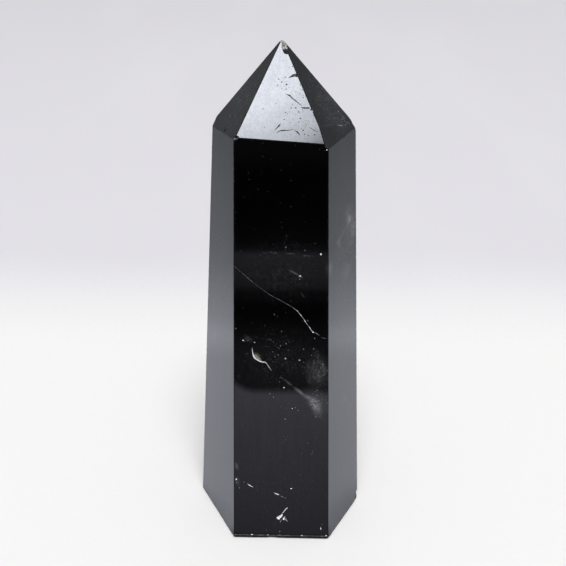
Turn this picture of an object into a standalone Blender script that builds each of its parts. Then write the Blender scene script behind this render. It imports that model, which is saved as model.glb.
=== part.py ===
"""Morion quartz crystal: one polished six-sided point standing on its sawn base.

Blender script, in metres, +Z up. The origin is the middle of the base, and the
front side faces -Y. The stone is cut from a block the way a lapidary grinds it:
a flat base, six prism sides that lean in a little, six tip facets that meet in a
point, rounded edges, and then the chips that handling has left.
"""

import math
from typing import NamedTuple

import bmesh
import bpy
from mathutils import Matrix, Vector

MM = 0.001

# Overall size
TIP = Vector((0.55, -0.6, 98.97)) * MM  # Where the six tip facets meet
BLOCK = Vector((44.0, 40.0, 106.0)) * MM  # Rough block that the stone is cut from

# Edges
EDGE_ROUND = 0.2 * MM  # Width worn off the edges between the facets
BASE_ROUND = 0.7 * MM  # Width of the ground chamfer around the base
ROUND_STEPS = 2
ON_PLANE = 0.002 * MM  # A corner this near to a cutting plane lies on it

# Chips
CHIP_DETAIL = 3  # Subdivisions of the ball that scoops out a chip

# Colour of the stone
STONE_COLOUR = (0.012, 0.011, 0.013, 1.0)
STONE_ROUGHNESS = 0.08
STONE_IOR = 1.544


class Side(NamedTuple):
    """One of the six sides: its prism facet and the tip facet above it."""

    bearing: float  # Degrees that the prism facet is turned from the front
    reach: float  # Distance from the axis to the facet at the base, in mm
    lean: float  # Degrees that the facet leans in towards the tip
    tip_turn: float  # Degrees that the tip facet is turned from the prism facet
    tip_slope: float  # Degrees from the horizontal to the tip facet


SIDES = {
    "front": Side(0.0, 13.75, 2.9, 2.3, 57.05),
    "front_right": Side(60.0, 15.85, 2.8, -1.15, 52.65),
    "back_right": Side(120.0, 13.6, 2.15, 0.35, 53.55),
    "back": Side(180.0, 13.75, 3.1, 1.0, 54.4),
    "back_left": Side(240.0, 14.85, 4.5, 0.7, 54.5),
    "front_left": Side(300.0, 14.8, 2.8, -1.8, 51.5),
}


class Chip(NamedTuple):
    """A shell-shaped chip: where it is, which way it faces, and its size in mm."""

    x: float
    y: float
    z: float
    sides: tuple[str, ...]  # Prism facets that it breaks
    tips: tuple[str, ...]  # Tip facets that it breaks
    length: float
    width: float
    depth: float
    turn: float  # Degrees from the horizontal to the chip's length


CHIPS = {
    "tip_chip": Chip(1.1, -1.48, 97.68, (), ("front", "front_right"), 2.0, 1.3, 0.35, 70.0),
    "tip_edge_nick_high": Chip(2.88, -3.85, 94.03, (), ("front", "front_right"), 1.4, 0.45, 0.15, 10.0),
    "tip_edge_nick_low": Chip(5.3, -6.6, 89.52, (), ("front", "front_right"), 1.3, 0.5, 0.12, 10.0),
    "right_shoulder_wear": Chip(12.5, -0.6, 85.2, ("back_right",), ("front_right", "back_right"), 5.0, 2.8, 0.5, 80.0),
    "left_corner_chip": Chip(-6.5, -9.4, 85.7, ("front", "front_left"), ("front_left",), 1.3, 0.9, 0.25, 20.0),
    "right_corner_chip": Chip(7.7, -9.5, 84.6, ("front", "front_right"), ("front_right",), 0.9, 0.7, 0.15, 60.0),
    "struck_mark": Chip(0.8, -13.48, 5.6, ("front",), (), 2.6, 2.0, 0.25, 60.0),
    "base_corner_chip": Chip(10.5, -13.75, 0.5, ("front", "front_right"), (), 2.2, 1.2, 0.4, 85.0),
    "base_front_chip": Chip(-1.2, -13.75, 0.3, ("front",), (), 3.2, 1.1, 0.4, 0.0),
    "right_edge_chip": Chip(16.8, -2.7, 1.2, ("front_right", "back_right"), (), 3.4, 1.8, 0.5, 80.0),
    "back_edge_chip": Chip(-8.1, 12.6, 17.0, ("back", "back_left"), (), 3.0, 1.3, 0.4, 85.0),
}


def facet_normal(bearing: float, rise: float) -> Vector:
    """Outward direction of a facet, from its bearing and how far it looks up."""
    turn = math.radians(bearing)
    up = math.radians(rise)
    return Vector((math.sin(turn) * math.cos(up), -math.cos(turn) * math.cos(up), math.sin(up)))


def side_normal(name: str) -> Vector:
    """Outward direction of a prism facet."""
    return facet_normal(SIDES[name].bearing, SIDES[name].lean)


def tip_normal(name: str) -> Vector:
    """Outward direction of a tip facet."""
    side = SIDES[name]
    return facet_normal(side.bearing + side.tip_turn, 90.0 - side.tip_slope)


def grind(mesh: bmesh.types.BMesh, point: Vector, normal: Vector) -> None:
    """Cut away what lies beyond a plane and close the cut with one flat facet."""
    whole = mesh.verts[:] + mesh.edges[:] + mesh.faces[:]
    cut = bmesh.ops.bisect_plane(
        mesh, geom=whole, dist=ON_PLANE, plane_co=point, plane_no=normal, clear_outer=True
    )
    rim = [item for item in cut["geom_cut"] if isinstance(item, bmesh.types.BMEdge)]
    bmesh.ops.edgeloop_fill(mesh, edges=rim)


def round_edges(mesh: bmesh.types.BMesh, edges: list[bmesh.types.BMEdge], width: float) -> None:
    """Round the given edges over a width measured along the facets."""
    bmesh.ops.bevel(
        mesh,
        geom=edges,
        offset=width,
        offset_type="OFFSET",
        segments=ROUND_STEPS,
        profile=0.5,
        affect="EDGES",
        clamp_overlap=True,
    )


def at_base(edge: bmesh.types.BMEdge) -> bool:
    """Whether an edge lies in the base."""
    return all(corner.co.z < ON_PLANE for corner in edge.verts)


def cut_stone() -> bmesh.types.BMesh:
    """Grind the block into the six-sided point and round its edges."""
    mesh = bmesh.new()
    bmesh.ops.create_cube(mesh, size=1.0)
    bmesh.ops.scale(mesh, verts=mesh.verts, vec=BLOCK)
    bmesh.ops.translate(mesh, verts=mesh.verts, vec=Vector((0.0, 0.0, BLOCK.z / 2)))
    for name, side in SIDES.items():
        outward = facet_normal(side.bearing, 0.0)
        grind(mesh, outward * side.reach * MM, side_normal(name))
    for name in SIDES:
        grind(mesh, TIP, tip_normal(name))
    round_edges(mesh, [edge for edge in mesh.edges if at_base(edge)], BASE_ROUND)
    sharp = [edge for edge in mesh.edges if edge.calc_face_angle() > math.radians(30.0)]
    round_edges(mesh, [edge for edge in sharp if max(v.co.z for v in edge.verts) > BASE_ROUND * 2], EDGE_ROUND)
    bmesh.ops.recalc_face_normals(mesh, faces=mesh.faces)
    return mesh


def chip_matrix(chip: Chip, radius: float) -> Matrix:
    """Place the scooping ball: its centre stands outside the stone over the chip."""
    outward = Vector()
    for name in chip.sides:
        outward += side_normal(name)
    for name in chip.tips:
        outward += tip_normal(name)
    outward.normalize()
    across = Vector((0.0, 0.0, 1.0)).cross(outward).normalized()
    along = Matrix.Rotation(math.radians(chip.turn), 3, outward) @ across
    other = outward.cross(along)
    turn = Matrix((along, other, outward)).transposed().to_4x4()
    centre = Vector((chip.x, chip.y, chip.z)) * MM + outward * (radius - chip.depth * MM)
    stretch = Matrix.Diagonal((chip.length / chip.width, 1.0, 1.0, 1.0))
    return Matrix.Translation(centre) @ turn @ stretch @ Matrix.Scale(radius, 4)


def chip_cutter(name: str, chip: Chip, shelf: bpy.types.Collection) -> bpy.types.Object:
    """Make the ball that scoops out one chip."""
    half = chip.width * MM / 2
    depth = chip.depth * MM
    radius = (half * half + depth * depth) / (2 * depth)
    mesh = bmesh.new()
    bmesh.ops.create_icosphere(mesh, subdivisions=CHIP_DETAIL, radius=1.0)
    bmesh.ops.transform(mesh, matrix=chip_matrix(chip, radius), verts=mesh.verts)
    bmesh.ops.recalc_face_normals(mesh, faces=mesh.faces)
    data = bpy.data.meshes.new(name)
    mesh.to_mesh(data)
    mesh.free()
    cutter = bpy.data.objects.new(name, data)
    cutter.hide_render = True
    cutter.display_type = "WIRE"
    shelf.objects.link(cutter)
    return cutter


def stone_material() -> bpy.types.Material:
    """Polished black quartz."""
    material = bpy.data.materials.new("polished_morion")
    material.use_nodes = True
    shader = material.node_tree.nodes["Principled BSDF"]
    shader.inputs["Base Color"].default_value = STONE_COLOUR
    shader.inputs["Roughness"].default_value = STONE_ROUGHNESS
    shader.inputs["Metallic"].default_value = 0.0
    shader.inputs["IOR"].default_value = STONE_IOR
    return material


def build_crystal(shelf: bpy.types.Collection, cutters: bpy.types.Collection) -> bpy.types.Object:
    """Make the crystal: the ground stone with its chips cut out."""
    mesh = cut_stone()
    data = bpy.data.meshes.new("crystal")
    mesh.to_mesh(data)
    mesh.free()
    data.materials.append(stone_material())
    crystal = bpy.data.objects.new("crystal", data)
    shelf.objects.link(crystal)
    for name, chip in CHIPS.items():
        scoop = crystal.modifiers.new(name, "BOOLEAN")
        scoop.operation = "DIFFERENCE"
        scoop.solver = "EXACT"
        scoop.object = chip_cutter(name, chip, cutters)
    return crystal


def main() -> None:
    """Clear the scene and build the crystal."""
    for item in list(bpy.data.objects):
        bpy.data.objects.remove(item, do_unlink=True)
    shelf = bpy.data.collections.new("morion_crystal")
    cutters = bpy.data.collections.new("chip_cutters")
    bpy.context.scene.collection.children.link(shelf)
    bpy.context.scene.collection.children.link(cutters)
    build_crystal(shelf, cutters)


main()
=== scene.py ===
"""A polished point of morion, which is black smoky quartz, on a pale table.

The stone is made the way a lapidary makes it: a block is ground to six prism sides
that lean in a little and six tip facets that meet in a point, and its edges are worn
round. Then come its marks: shell-shaped chips, nicks along the edges, scratches, an
open crack filled with pale crushed quartz, a healed hairline and small pits. Clouds
and wisps inside the stone are colour only.

Plain numbers in the classes are millimetres and degrees. Blender works in metres.
"""

from __future__ import annotations

import logging
import math
import random
from abc import ABC, abstractmethod
from dataclasses import dataclass, field
from enum import Enum

import bmesh
import bpy
from mathutils import Matrix, Vector, noise


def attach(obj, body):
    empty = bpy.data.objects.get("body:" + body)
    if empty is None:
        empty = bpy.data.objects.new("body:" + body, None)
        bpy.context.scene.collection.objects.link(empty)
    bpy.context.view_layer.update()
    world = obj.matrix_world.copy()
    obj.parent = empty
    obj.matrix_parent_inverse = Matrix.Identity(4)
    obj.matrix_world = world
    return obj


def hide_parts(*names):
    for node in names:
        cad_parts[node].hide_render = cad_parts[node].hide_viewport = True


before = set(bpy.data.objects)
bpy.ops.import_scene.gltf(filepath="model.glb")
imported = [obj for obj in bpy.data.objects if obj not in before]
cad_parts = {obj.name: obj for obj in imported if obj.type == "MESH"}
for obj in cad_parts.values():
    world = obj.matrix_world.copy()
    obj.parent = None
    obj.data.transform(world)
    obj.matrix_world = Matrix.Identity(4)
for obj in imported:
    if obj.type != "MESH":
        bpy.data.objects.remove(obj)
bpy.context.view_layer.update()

LOG = logging.getLogger("morion_point")
MM = 0.001
UP = Vector((0.0, 0.0, 1.0))
TIP = Vector((0.55, -0.6, 98.97)) * MM  # Where the six tip facets meet


def towards(bearing: float, rise: float) -> Vector:
    """Unit direction from a bearing and a height above the horizon.

    Args:
        bearing: Degrees turned from the front, which is -Y, towards +X.
        rise: Degrees above the horizon.

    Returns:
        The direction, as a unit vector.
    """
    turn = math.radians(bearing)
    lift = math.radians(rise)
    return Vector((math.sin(turn) * math.cos(lift), -math.cos(turn) * math.cos(lift), math.sin(lift)))


def object_of(name: str, mesh: bmesh.types.BMesh, finishes: list[bpy.types.Material]) -> bpy.types.Object:
    """Make an object of a mesh.

    Args:
        name: Name of the object.
        mesh: Its mesh, which is used up.
        finishes: Materials, in the order of its slots.

    Returns:
        The object.
    """
    data = bpy.data.meshes.new(name)
    mesh.to_mesh(data)
    mesh.free()
    for material in finishes:
        data.materials.append(material)
    made = bpy.data.objects.new(name, data)
    bpy.context.scene.collection.objects.link(made)
    return made


class Finish(Enum):
    """The finishes on the stone, by the material slot that each one has."""

    POLISHED = 0
    WORN_EDGE = 1
    BROKEN = 2
    CRUSHED = 3
    HEALED = 4
    SCRATCHED = 5
    # Top strip of the base chamfer: real scuffs, and a lighter colour that is a painted highlight
    SCUFFED = 6
    FROSTED = 7


@dataclass(frozen=True)
class Grind:
    """How one side of the stone is ground, from the base to the tip.

    Attributes:
        bearing: Degrees that the prism facet is turned from the front.
        reach: Distance from the axis to the prism facet at the base.
        lean: Degrees that the prism facet leans in towards the tip.
        tip_turn: Degrees that the tip facet is turned from the prism facet.
        tip_slope: Degrees from the horizontal to the tip facet.
    """

    bearing: float
    reach: float
    lean: float
    tip_turn: float
    tip_slope: float


class Side(Enum):
    """The six sides of the stone, and how each one is ground."""

    FRONT = Grind(0.0, 13.75, 2.9, 2.3, 57.05)
    FRONT_RIGHT = Grind(60.0, 15.85, 2.8, -1.15, 52.65)
    BACK_RIGHT = Grind(120.0, 13.6, 2.15, 0.35, 53.55)
    BACK = Grind(180.0, 13.75, 3.1, 1.0, 54.4)
    BACK_LEFT = Grind(240.0, 14.85, 4.5, 0.7, 54.5)
    FRONT_LEFT = Grind(300.0, 14.8, 2.8, -1.8, 51.5)


class Zone(Enum):
    """Whether a facet is on the prism or on the tip."""

    PRISM = "prism"
    TIP = "tip"


@dataclass(frozen=True)
class Facet:
    """One flat facet, with its own directions across and up.

    On the prism, places are measured from the middle of the facet's foot. On the tip
    they are measured from the point of the stone, so up is negative there.

    Attributes:
        side: The side of the stone that the facet is on.
        zone: Prism or tip.
    """

    side: Side
    zone: Zone

    @property
    def normal(self) -> Vector:
        """Direction that the facet faces."""
        grind = self.side.value
        if self.zone is Zone.PRISM:
            return towards(grind.bearing, grind.lean)
        return towards(grind.bearing + grind.tip_turn, 90.0 - grind.tip_slope)

    @property
    def start(self) -> Vector:
        """Point that places on the facet are measured from, in metres."""
        if self.zone is Zone.TIP:
            return TIP
        return towards(self.side.value.bearing, 0.0) * self.side.value.reach * MM

    @property
    def across(self) -> Vector:
        """Level direction across the facet, to the right as one faces it."""
        return UP.cross(self.normal).normalized()

    @property
    def up(self) -> Vector:
        """Direction up the facet."""
        return self.normal.cross(self.across)

    def at(self, across: float, up: float, out: float = 0.0) -> Vector:
        """Find a point on the facet.

        Args:
            across: Millimetres across from the start.
            up: Millimetres up from the start.
            out: Millimetres that the point stands off the facet.

        Returns:
            The point, in metres.
        """
        return self.start + (self.across * across + self.up * up + self.normal * out) * MM

    def turned(self, turn: float) -> Matrix:
        """Axes on the facet: along, beside and out.

        Args:
            turn: Degrees that the first axis is turned from across towards up.

        Returns:
            A rotation matrix.
        """
        along = Matrix.Rotation(math.radians(turn), 3, self.normal) @ self.across
        return Matrix((along, self.normal.cross(along), self.normal)).transposed()


FRONT = Facet(Side.FRONT, Zone.PRISM)
FRONT_RIGHT = Facet(Side.FRONT_RIGHT, Zone.PRISM)
BACK_RIGHT = Facet(Side.BACK_RIGHT, Zone.PRISM)
BACK = Facet(Side.BACK, Zone.PRISM)
BACK_LEFT = Facet(Side.BACK_LEFT, Zone.PRISM)
FRONT_LEFT = Facet(Side.FRONT_LEFT, Zone.PRISM)
FRONT_TIP = Facet(Side.FRONT, Zone.TIP)
RIGHT_TIP = Facet(Side.FRONT_RIGHT, Zone.TIP)
BACK_RIGHT_TIP = Facet(Side.BACK_RIGHT, Zone.TIP)
BACK_TIP = Facet(Side.BACK, Zone.TIP)
BACK_LEFT_TIP = Facet(Side.BACK_LEFT, Zone.TIP)
LEFT_TIP = Facet(Side.FRONT_LEFT, Zone.TIP)


class Cut(ABC):
    """Something that is missing from the stone."""

    @abstractmethod
    def carve(self, cutter: bmesh.types.BMesh) -> None:
        """Add the closed shape that takes this mark out of the stone.

        Args:
            cutter: Mesh that the shape is added to.
        """


@dataclass(frozen=True)
class Chip(Cut):
    """A shell-shaped chip with faint ripples, as quartz breaks.

    Attributes:
        place: Middle of the chip, before it broke.
        breaks: Facets that the chip runs into.
        length: Length of the chip.
        width: Width of the chip.
        depth: Depth of the chip.
        turn: Degrees from the horizontal to the chip's length.
        finish: Finish of the broken face.
    """

    place: tuple[float, float, float]
    breaks: tuple[Facet, ...]
    length: float
    width: float
    depth: float
    turn: float
    finish: Finish = Finish.BROKEN

    DETAIL = 4
    RIPPLES = 26.0
    RIPPLE_HEIGHT = 0.012
    UNEVEN = 0.06
    LUMP = 1.6
    STRIKE = Vector((0.5, 0.1, -0.8))  # Where the ripples spread from, on the scooping ball

    def carve(self, cutter: bmesh.types.BMesh) -> None:
        """Add the rippled ball that scoops out the chip.

        Args:
            cutter: Mesh that the ball is added to.
        """
        half = self.width / 2
        radius = (half * half + self.depth * self.depth) / (2 * self.depth)
        outward = sum((facet.normal for facet in self.breaks), Vector()).normalized()
        across = UP.cross(outward).normalized()
        along = Matrix.Rotation(math.radians(self.turn), 3, outward) @ across
        axes = Matrix((along, outward.cross(along), outward)).transposed().to_4x4()
        centre = Vector(self.place) * MM + outward * (radius - self.depth) * MM
        stretch = Matrix.Diagonal((self.length / self.width, 1.0, 1.0, 1.0))
        ball = bmesh.ops.create_icosphere(cutter, subdivisions=self.DETAIL, radius=1.0)["verts"]
        for corner in ball:
            ripple = math.sin((corner.co - self.STRIKE).length * self.RIPPLES) * self.RIPPLE_HEIGHT
            lump = noise.noise(corner.co * self.LUMP + Vector(self.place)) * self.UNEVEN
            corner.co *= 1.0 + ripple + lump
        place = Matrix.Translation(centre) @ axes @ stretch @ Matrix.Scale(radius * MM, 4)
        bmesh.ops.transform(cutter, matrix=place, verts=ball)
        paint_faces(ball, self.finish, smooth=True)


@dataclass(frozen=True)
class Groove(Cut):
    """A thin line cut into a facet: a crack's mouth, a hairline or a scratch.

    Attributes:
        facet: Facet that the line runs on.
        route: Points of the line, each as across, up and width.
        depth: Depth where the line is widest.
        finish: Finish inside the line.
        ragged: Share by which the width varies at random.
    """

    facet: Facet
    route: tuple[tuple[float, float, float], ...]
    depth: float
    finish: Finish
    ragged: float = 0.25

    STEP = 0.22
    THINNEST = 0.02
    PROUD = 0.03  # Height of the cutter's widest line over the facet
    SECTION = ((1.0, 0.0), (0.4, -1.0), (-0.4, -1.0), (-1.0, 0.0), (-0.7, 1.0), (0.7, 1.0))

    def points(self) -> list[Vector]:
        """Route smoothed through its points.

        Returns:
            Points as across, up and width, evenly spaced.
        """
        knots = [Vector(point) for point in self.route]
        padded = [2 * knots[0] - knots[1], *knots, 2 * knots[-1] - knots[-2]]
        smooth = [knots[0]]
        for before, start, end, after in zip(padded, padded[1:], padded[2:], padded[3:]):
            count = max(1, round((end - start).to_2d().length / self.STEP))
            for step in range(1, count + 1):
                t = step / count
                smooth.append(
                    0.5
                    * (
                        2 * start
                        + (end - before) * t
                        + (2 * before - 5 * start + 4 * end - after) * t * t
                        + (3 * start - before - 3 * end + after) * t**3
                    )
                )
        return smooth

    def carve(self, cutter: bmesh.types.BMesh) -> None:
        """Add the thin wedge that cuts the line.

        Args:
            cutter: Mesh that the wedge is added to.
        """
        dice = random.Random(f"{self.facet.side.name} {self.route}")
        points = self.points()
        widest = max(point.z for point in points)
        rings = []
        for index, point in enumerate(points):
            ahead = points[min(index + 1, len(points) - 1)] - points[max(index - 1, 0)]
            along = ahead.to_2d().normalized()
            half = max(point.z, self.THINNEST) / 2 * (1.0 + dice.uniform(-self.ragged, self.ragged))
            deep = self.depth * math.sqrt(max(point.z, self.THINNEST) / widest)
            ring = []
            for side, drop in self.SECTION:
                across = point.x - along.y * half * side
                up = point.y + along.x * half * side
                out = self.PROUD + drop * (deep + self.PROUD)
                ring.append(cutter.verts.new(self.facet.at(across, up, out)))
            rings.append(ring)
        corners = [corner for ring in rings for corner in ring]
        for ring, following in zip(rings, rings[1:]):
            for a, b, c, d in zip(ring, ring[1:] + ring[:1], following[1:] + following[:1], following):
                cutter.faces.new((a, b, c, d))
        for ring, other in ((rings[0], rings[1]), (rings[-1], rings[-2])):
            middle = sum((corner.co for corner in ring), Vector()) / len(ring)
            beyond = middle - sum((corner.co for corner in other), Vector()) / len(other)
            end = cutter.verts.new(middle + beyond + self.facet.normal * self.PROUD * MM)
            corners.append(end)
            for a, b in zip(ring, ring[1:] + ring[:1]):
                cutter.faces.new((a, b, end))
        paint_faces(corners, self.finish, smooth=False)


@dataclass(frozen=True)
class Flake(Cut):
    """An angular hollow that a thin flake has left in a facet.

    Attributes:
        facet: Facet that the flake is gone from.
        outline: Corners of the hollow's mouth, as across and up.
        depth: Depth of the hollow.
        finish: Finish inside the hollow.
        floor: Size of the hollow's floor as a share of its mouth.
    """

    facet: Facet
    outline: tuple[tuple[float, float], ...]
    depth: float
    finish: Finish
    floor: float = 0.6

    PROUD = 0.03  # Height of the cutter over the facet

    def carve(self, cutter: bmesh.types.BMesh) -> None:
        """Add the tapered block that leaves the hollow.

        Args:
            cutter: Mesh that the block is added to.
        """
        mouth = [Vector(corner) for corner in self.outline]
        middle = sum(mouth, Vector((0.0, 0.0))) / len(mouth)
        over = 1.0 + (1.0 - self.floor) * self.PROUD / self.depth
        rings = []
        for share, out in ((over, self.PROUD), (self.floor, -self.depth)):
            spots = [middle.lerp(corner, share) for corner in mouth]
            rings.append([cutter.verts.new(self.facet.at(spot.x, spot.y, out)) for spot in spots])
        top, bottom = rings
        cutter.faces.new(top)
        cutter.faces.new(bottom[::-1])
        for a, b, c, d in zip(top, top[1:] + top[:1], bottom[1:] + bottom[:1], bottom):
            cutter.faces.new((a, b, c, d))
        paint_faces(top + bottom, self.finish, smooth=False)


@dataclass(frozen=True)
class Pit(Cut):
    """A small pit in a facet.

    Attributes:
        facet: Facet that the pit is in.
        across: Place across the facet.
        up: Place up the facet.
        length: Length of the pit.
        width: Width of the pit.
        depth: Depth of the pit.
        turn: Degrees that its length is turned from across towards up.
        finish: Finish inside the pit.
    """

    facet: Facet
    across: float
    up: float
    length: float
    width: float
    depth: float
    turn: float
    finish: Finish

    DETAIL = 2
    ROUGH = 0.22
    LUMP = 1.7
    APART = 3.1  # Keeps the lumps of neighbouring pits from looking alike

    def carve(self, cutter: bmesh.types.BMesh) -> None:
        """Add the small lump that leaves the pit.

        Args:
            cutter: Mesh that the lump is added to.
        """
        lump = bmesh.ops.create_icosphere(cutter, subdivisions=self.DETAIL, radius=1.0)["verts"]
        for corner in lump:
            spot = corner.co * self.LUMP + Vector((self.across, self.up, 0.0)) * self.APART
            corner.co *= 1.0 + noise.noise(spot) * self.ROUGH
        size = Matrix.Diagonal((self.length / 2 * MM, self.width / 2 * MM, self.depth * MM, 1.0))
        place = Matrix.Translation(self.facet.at(self.across, self.up))
        bmesh.ops.transform(cutter, matrix=place @ self.facet.turned(self.turn).to_4x4() @ size, verts=lump)
        paint_faces(lump, self.finish, smooth=False)


def paint_faces(corners: list[bmesh.types.BMVert], finish: Finish, smooth: bool) -> None:
    """Give a finish to every face at the given corners.

    Args:
        corners: Corners of one closed shape.
        finish: Finish that the faces get.
        smooth: Whether the faces are shaded as one round surface.
    """
    for corner in corners:
        for face in corner.link_faces:
            face.material_index = finish.value
            face.smooth = smooth


@dataclass(frozen=True)
class PitPatch:
    """A loose patch of small pits.

    Attributes:
        facet: Facet that the patch is on.
        across: Middle of the patch, across.
        up: Middle of the patch, up.
        length: Length of the patch.
        width: Width of the patch.
        turn: Degrees that its length is turned from across towards up.
        count: Number of pits.
        size: Smallest and largest pit.
        finish: Finish inside the pits.
    """

    facet: Facet
    across: float
    up: float
    length: float
    width: float
    turn: float
    count: int
    size: tuple[float, float]
    finish: Finish

    DEPTH = 0.4  # Depth of a pit as a share of its width

    def pits(self, dice: random.Random) -> list[Pit]:
        """Scatter the pits over the patch.

        Args:
            dice: Source of the random places.

        Returns:
            The pits.
        """
        made = []
        turn = math.radians(self.turn)
        for _ in range(self.count):
            angle = dice.uniform(0.0, math.tau)
            away = math.sqrt(dice.random())
            along = math.cos(angle) * away * self.length / 2
            beside = math.sin(angle) * away * self.width / 2
            width = dice.uniform(*self.size)
            made.append(
                Pit(
                    self.facet,
                    self.across + along * math.cos(turn) - beside * math.sin(turn),
                    self.up + along * math.sin(turn) + beside * math.cos(turn),
                    width * dice.uniform(1.0, 1.9),
                    width,
                    width * self.DEPTH,
                    dice.uniform(0.0, 180.0),
                    self.finish,
                )
            )
        return made


@dataclass
class EdgeWear(Cut):
    """Tiny nicks along the edges between the facets.

    Attributes:
        edges: Both ends of each edge, in metres.
        spacing: Mean distance between nicks.
        length: Shortest and longest nick.
        width: Narrowest and widest nick.
        clear: Distance that is left whole at both ends of an edge.
        seed: Seed of the random places.
    """

    edges: list[tuple[Vector, Vector]]
    spacing: float = 5.0
    length: tuple[float, float] = (0.12, 0.7)
    width: tuple[float, float] = (0.07, 0.16)
    clear: float = 1.4
    seed: int = 7

    DETAIL = 2
    ROUGH = 0.3
    LUMP = 1.9

    def carve(self, cutter: bmesh.types.BMesh) -> None:
        """Add a small lump for each nick.

        Args:
            cutter: Mesh that the lumps are added to.
        """
        dice = random.Random(self.seed)
        for start, end in self.edges:
            along = end - start
            reach = along.length / MM
            place = self.clear + dice.uniform(0.0, self.spacing)
            while place < reach - self.clear:
                length = dice.uniform(*self.length)
                width = dice.uniform(*self.width)
                self.nick(cutter, start + along.normalized() * place * MM, along.normalized(), length, width)
                place += self.length[1] + dice.expovariate(1.0 / self.spacing)

    def nick(
        self, cutter: bmesh.types.BMesh, place: Vector, along: Vector, length: float, width: float
    ) -> None:
        """Add the lump for one nick.

        Args:
            cutter: Mesh that the lump is added to.
            place: Middle of the nick, on the edge before it was worn.
            along: Direction of the edge.
            length: Length of the nick.
            width: Width of the nick.
        """
        lump = bmesh.ops.create_icosphere(cutter, subdivisions=self.DETAIL, radius=1.0)["verts"]
        for corner in lump:
            corner.co *= 1.0 + noise.noise(corner.co * self.LUMP + place / MM) * self.ROUGH
        turn = along.to_track_quat("X", "Z").to_matrix().to_4x4()
        size = Matrix.Diagonal((length / 2 * MM, width * MM, width * MM, 1.0))
        bmesh.ops.transform(cutter, matrix=Matrix.Translation(place) @ turn @ size, verts=lump)
        paint_faces(lump, Finish.BROKEN, smooth=False)


@dataclass(frozen=True)
class Chips:
    """The chips that handling has left on the tip, the shoulders and the base."""

    all: tuple[Chip, ...] = (
        Chip((1.1, -1.56, 97.6), (FRONT_TIP, RIGHT_TIP), 2.3, 1.5, 0.36, 72.0),
        Chip((2.88, -3.85, 94.03), (FRONT_TIP, RIGHT_TIP), 1.5, 0.6, 0.18, 10.0),
        Chip((5.3, -6.6, 89.52), (FRONT_TIP, RIGHT_TIP), 1.3, 0.5, 0.12, 10.0),
        Chip((12.5, -0.6, 85.2), (BACK_RIGHT, RIGHT_TIP, BACK_RIGHT_TIP), 5.0, 2.8, 0.5, 80.0),
        Chip((-6.35, -9.4, 85.85), (FRONT, FRONT_TIP, LEFT_TIP), 1.3, 0.8, 0.20, 20.0),
        Chip((7.7, -9.5, 84.6), (FRONT, FRONT_RIGHT, RIGHT_TIP), 0.9, 0.7, 0.15, 60.0),
        Chip((0.8, -13.48, 5.6), (FRONT,), 2.6, 2.0, 0.12, 60.0),
        Chip((10.5, -13.75, 0.5), (FRONT, FRONT_RIGHT), 2.2, 1.2, 0.4, 85.0),
        Chip((-1.2, -13.75, 0.3), (FRONT,), 3.2, 1.1, 0.4, 0.0),
        Chip((16.8, -2.7, 1.2), (FRONT_RIGHT, BACK_RIGHT), 3.4, 1.8, 0.5, 80.0),
        Chip((-8.1, 12.6, 17.0), (BACK, BACK_LEFT), 3.0, 1.3, 0.4, 85.0),
    )
    frosted: tuple[Chip, ...] = (
        Chip((0.98, -1.22, 98.0), (FRONT_TIP, RIGHT_TIP), 1.8, 1.05, 0.42, 68.0, Finish.FROSTED),
        Chip((0.60, -0.72, 98.78), (FRONT_TIP, RIGHT_TIP, LEFT_TIP), 1.3, 1.2, 0.34, 0.0, Finish.FROSTED),
    )


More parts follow.
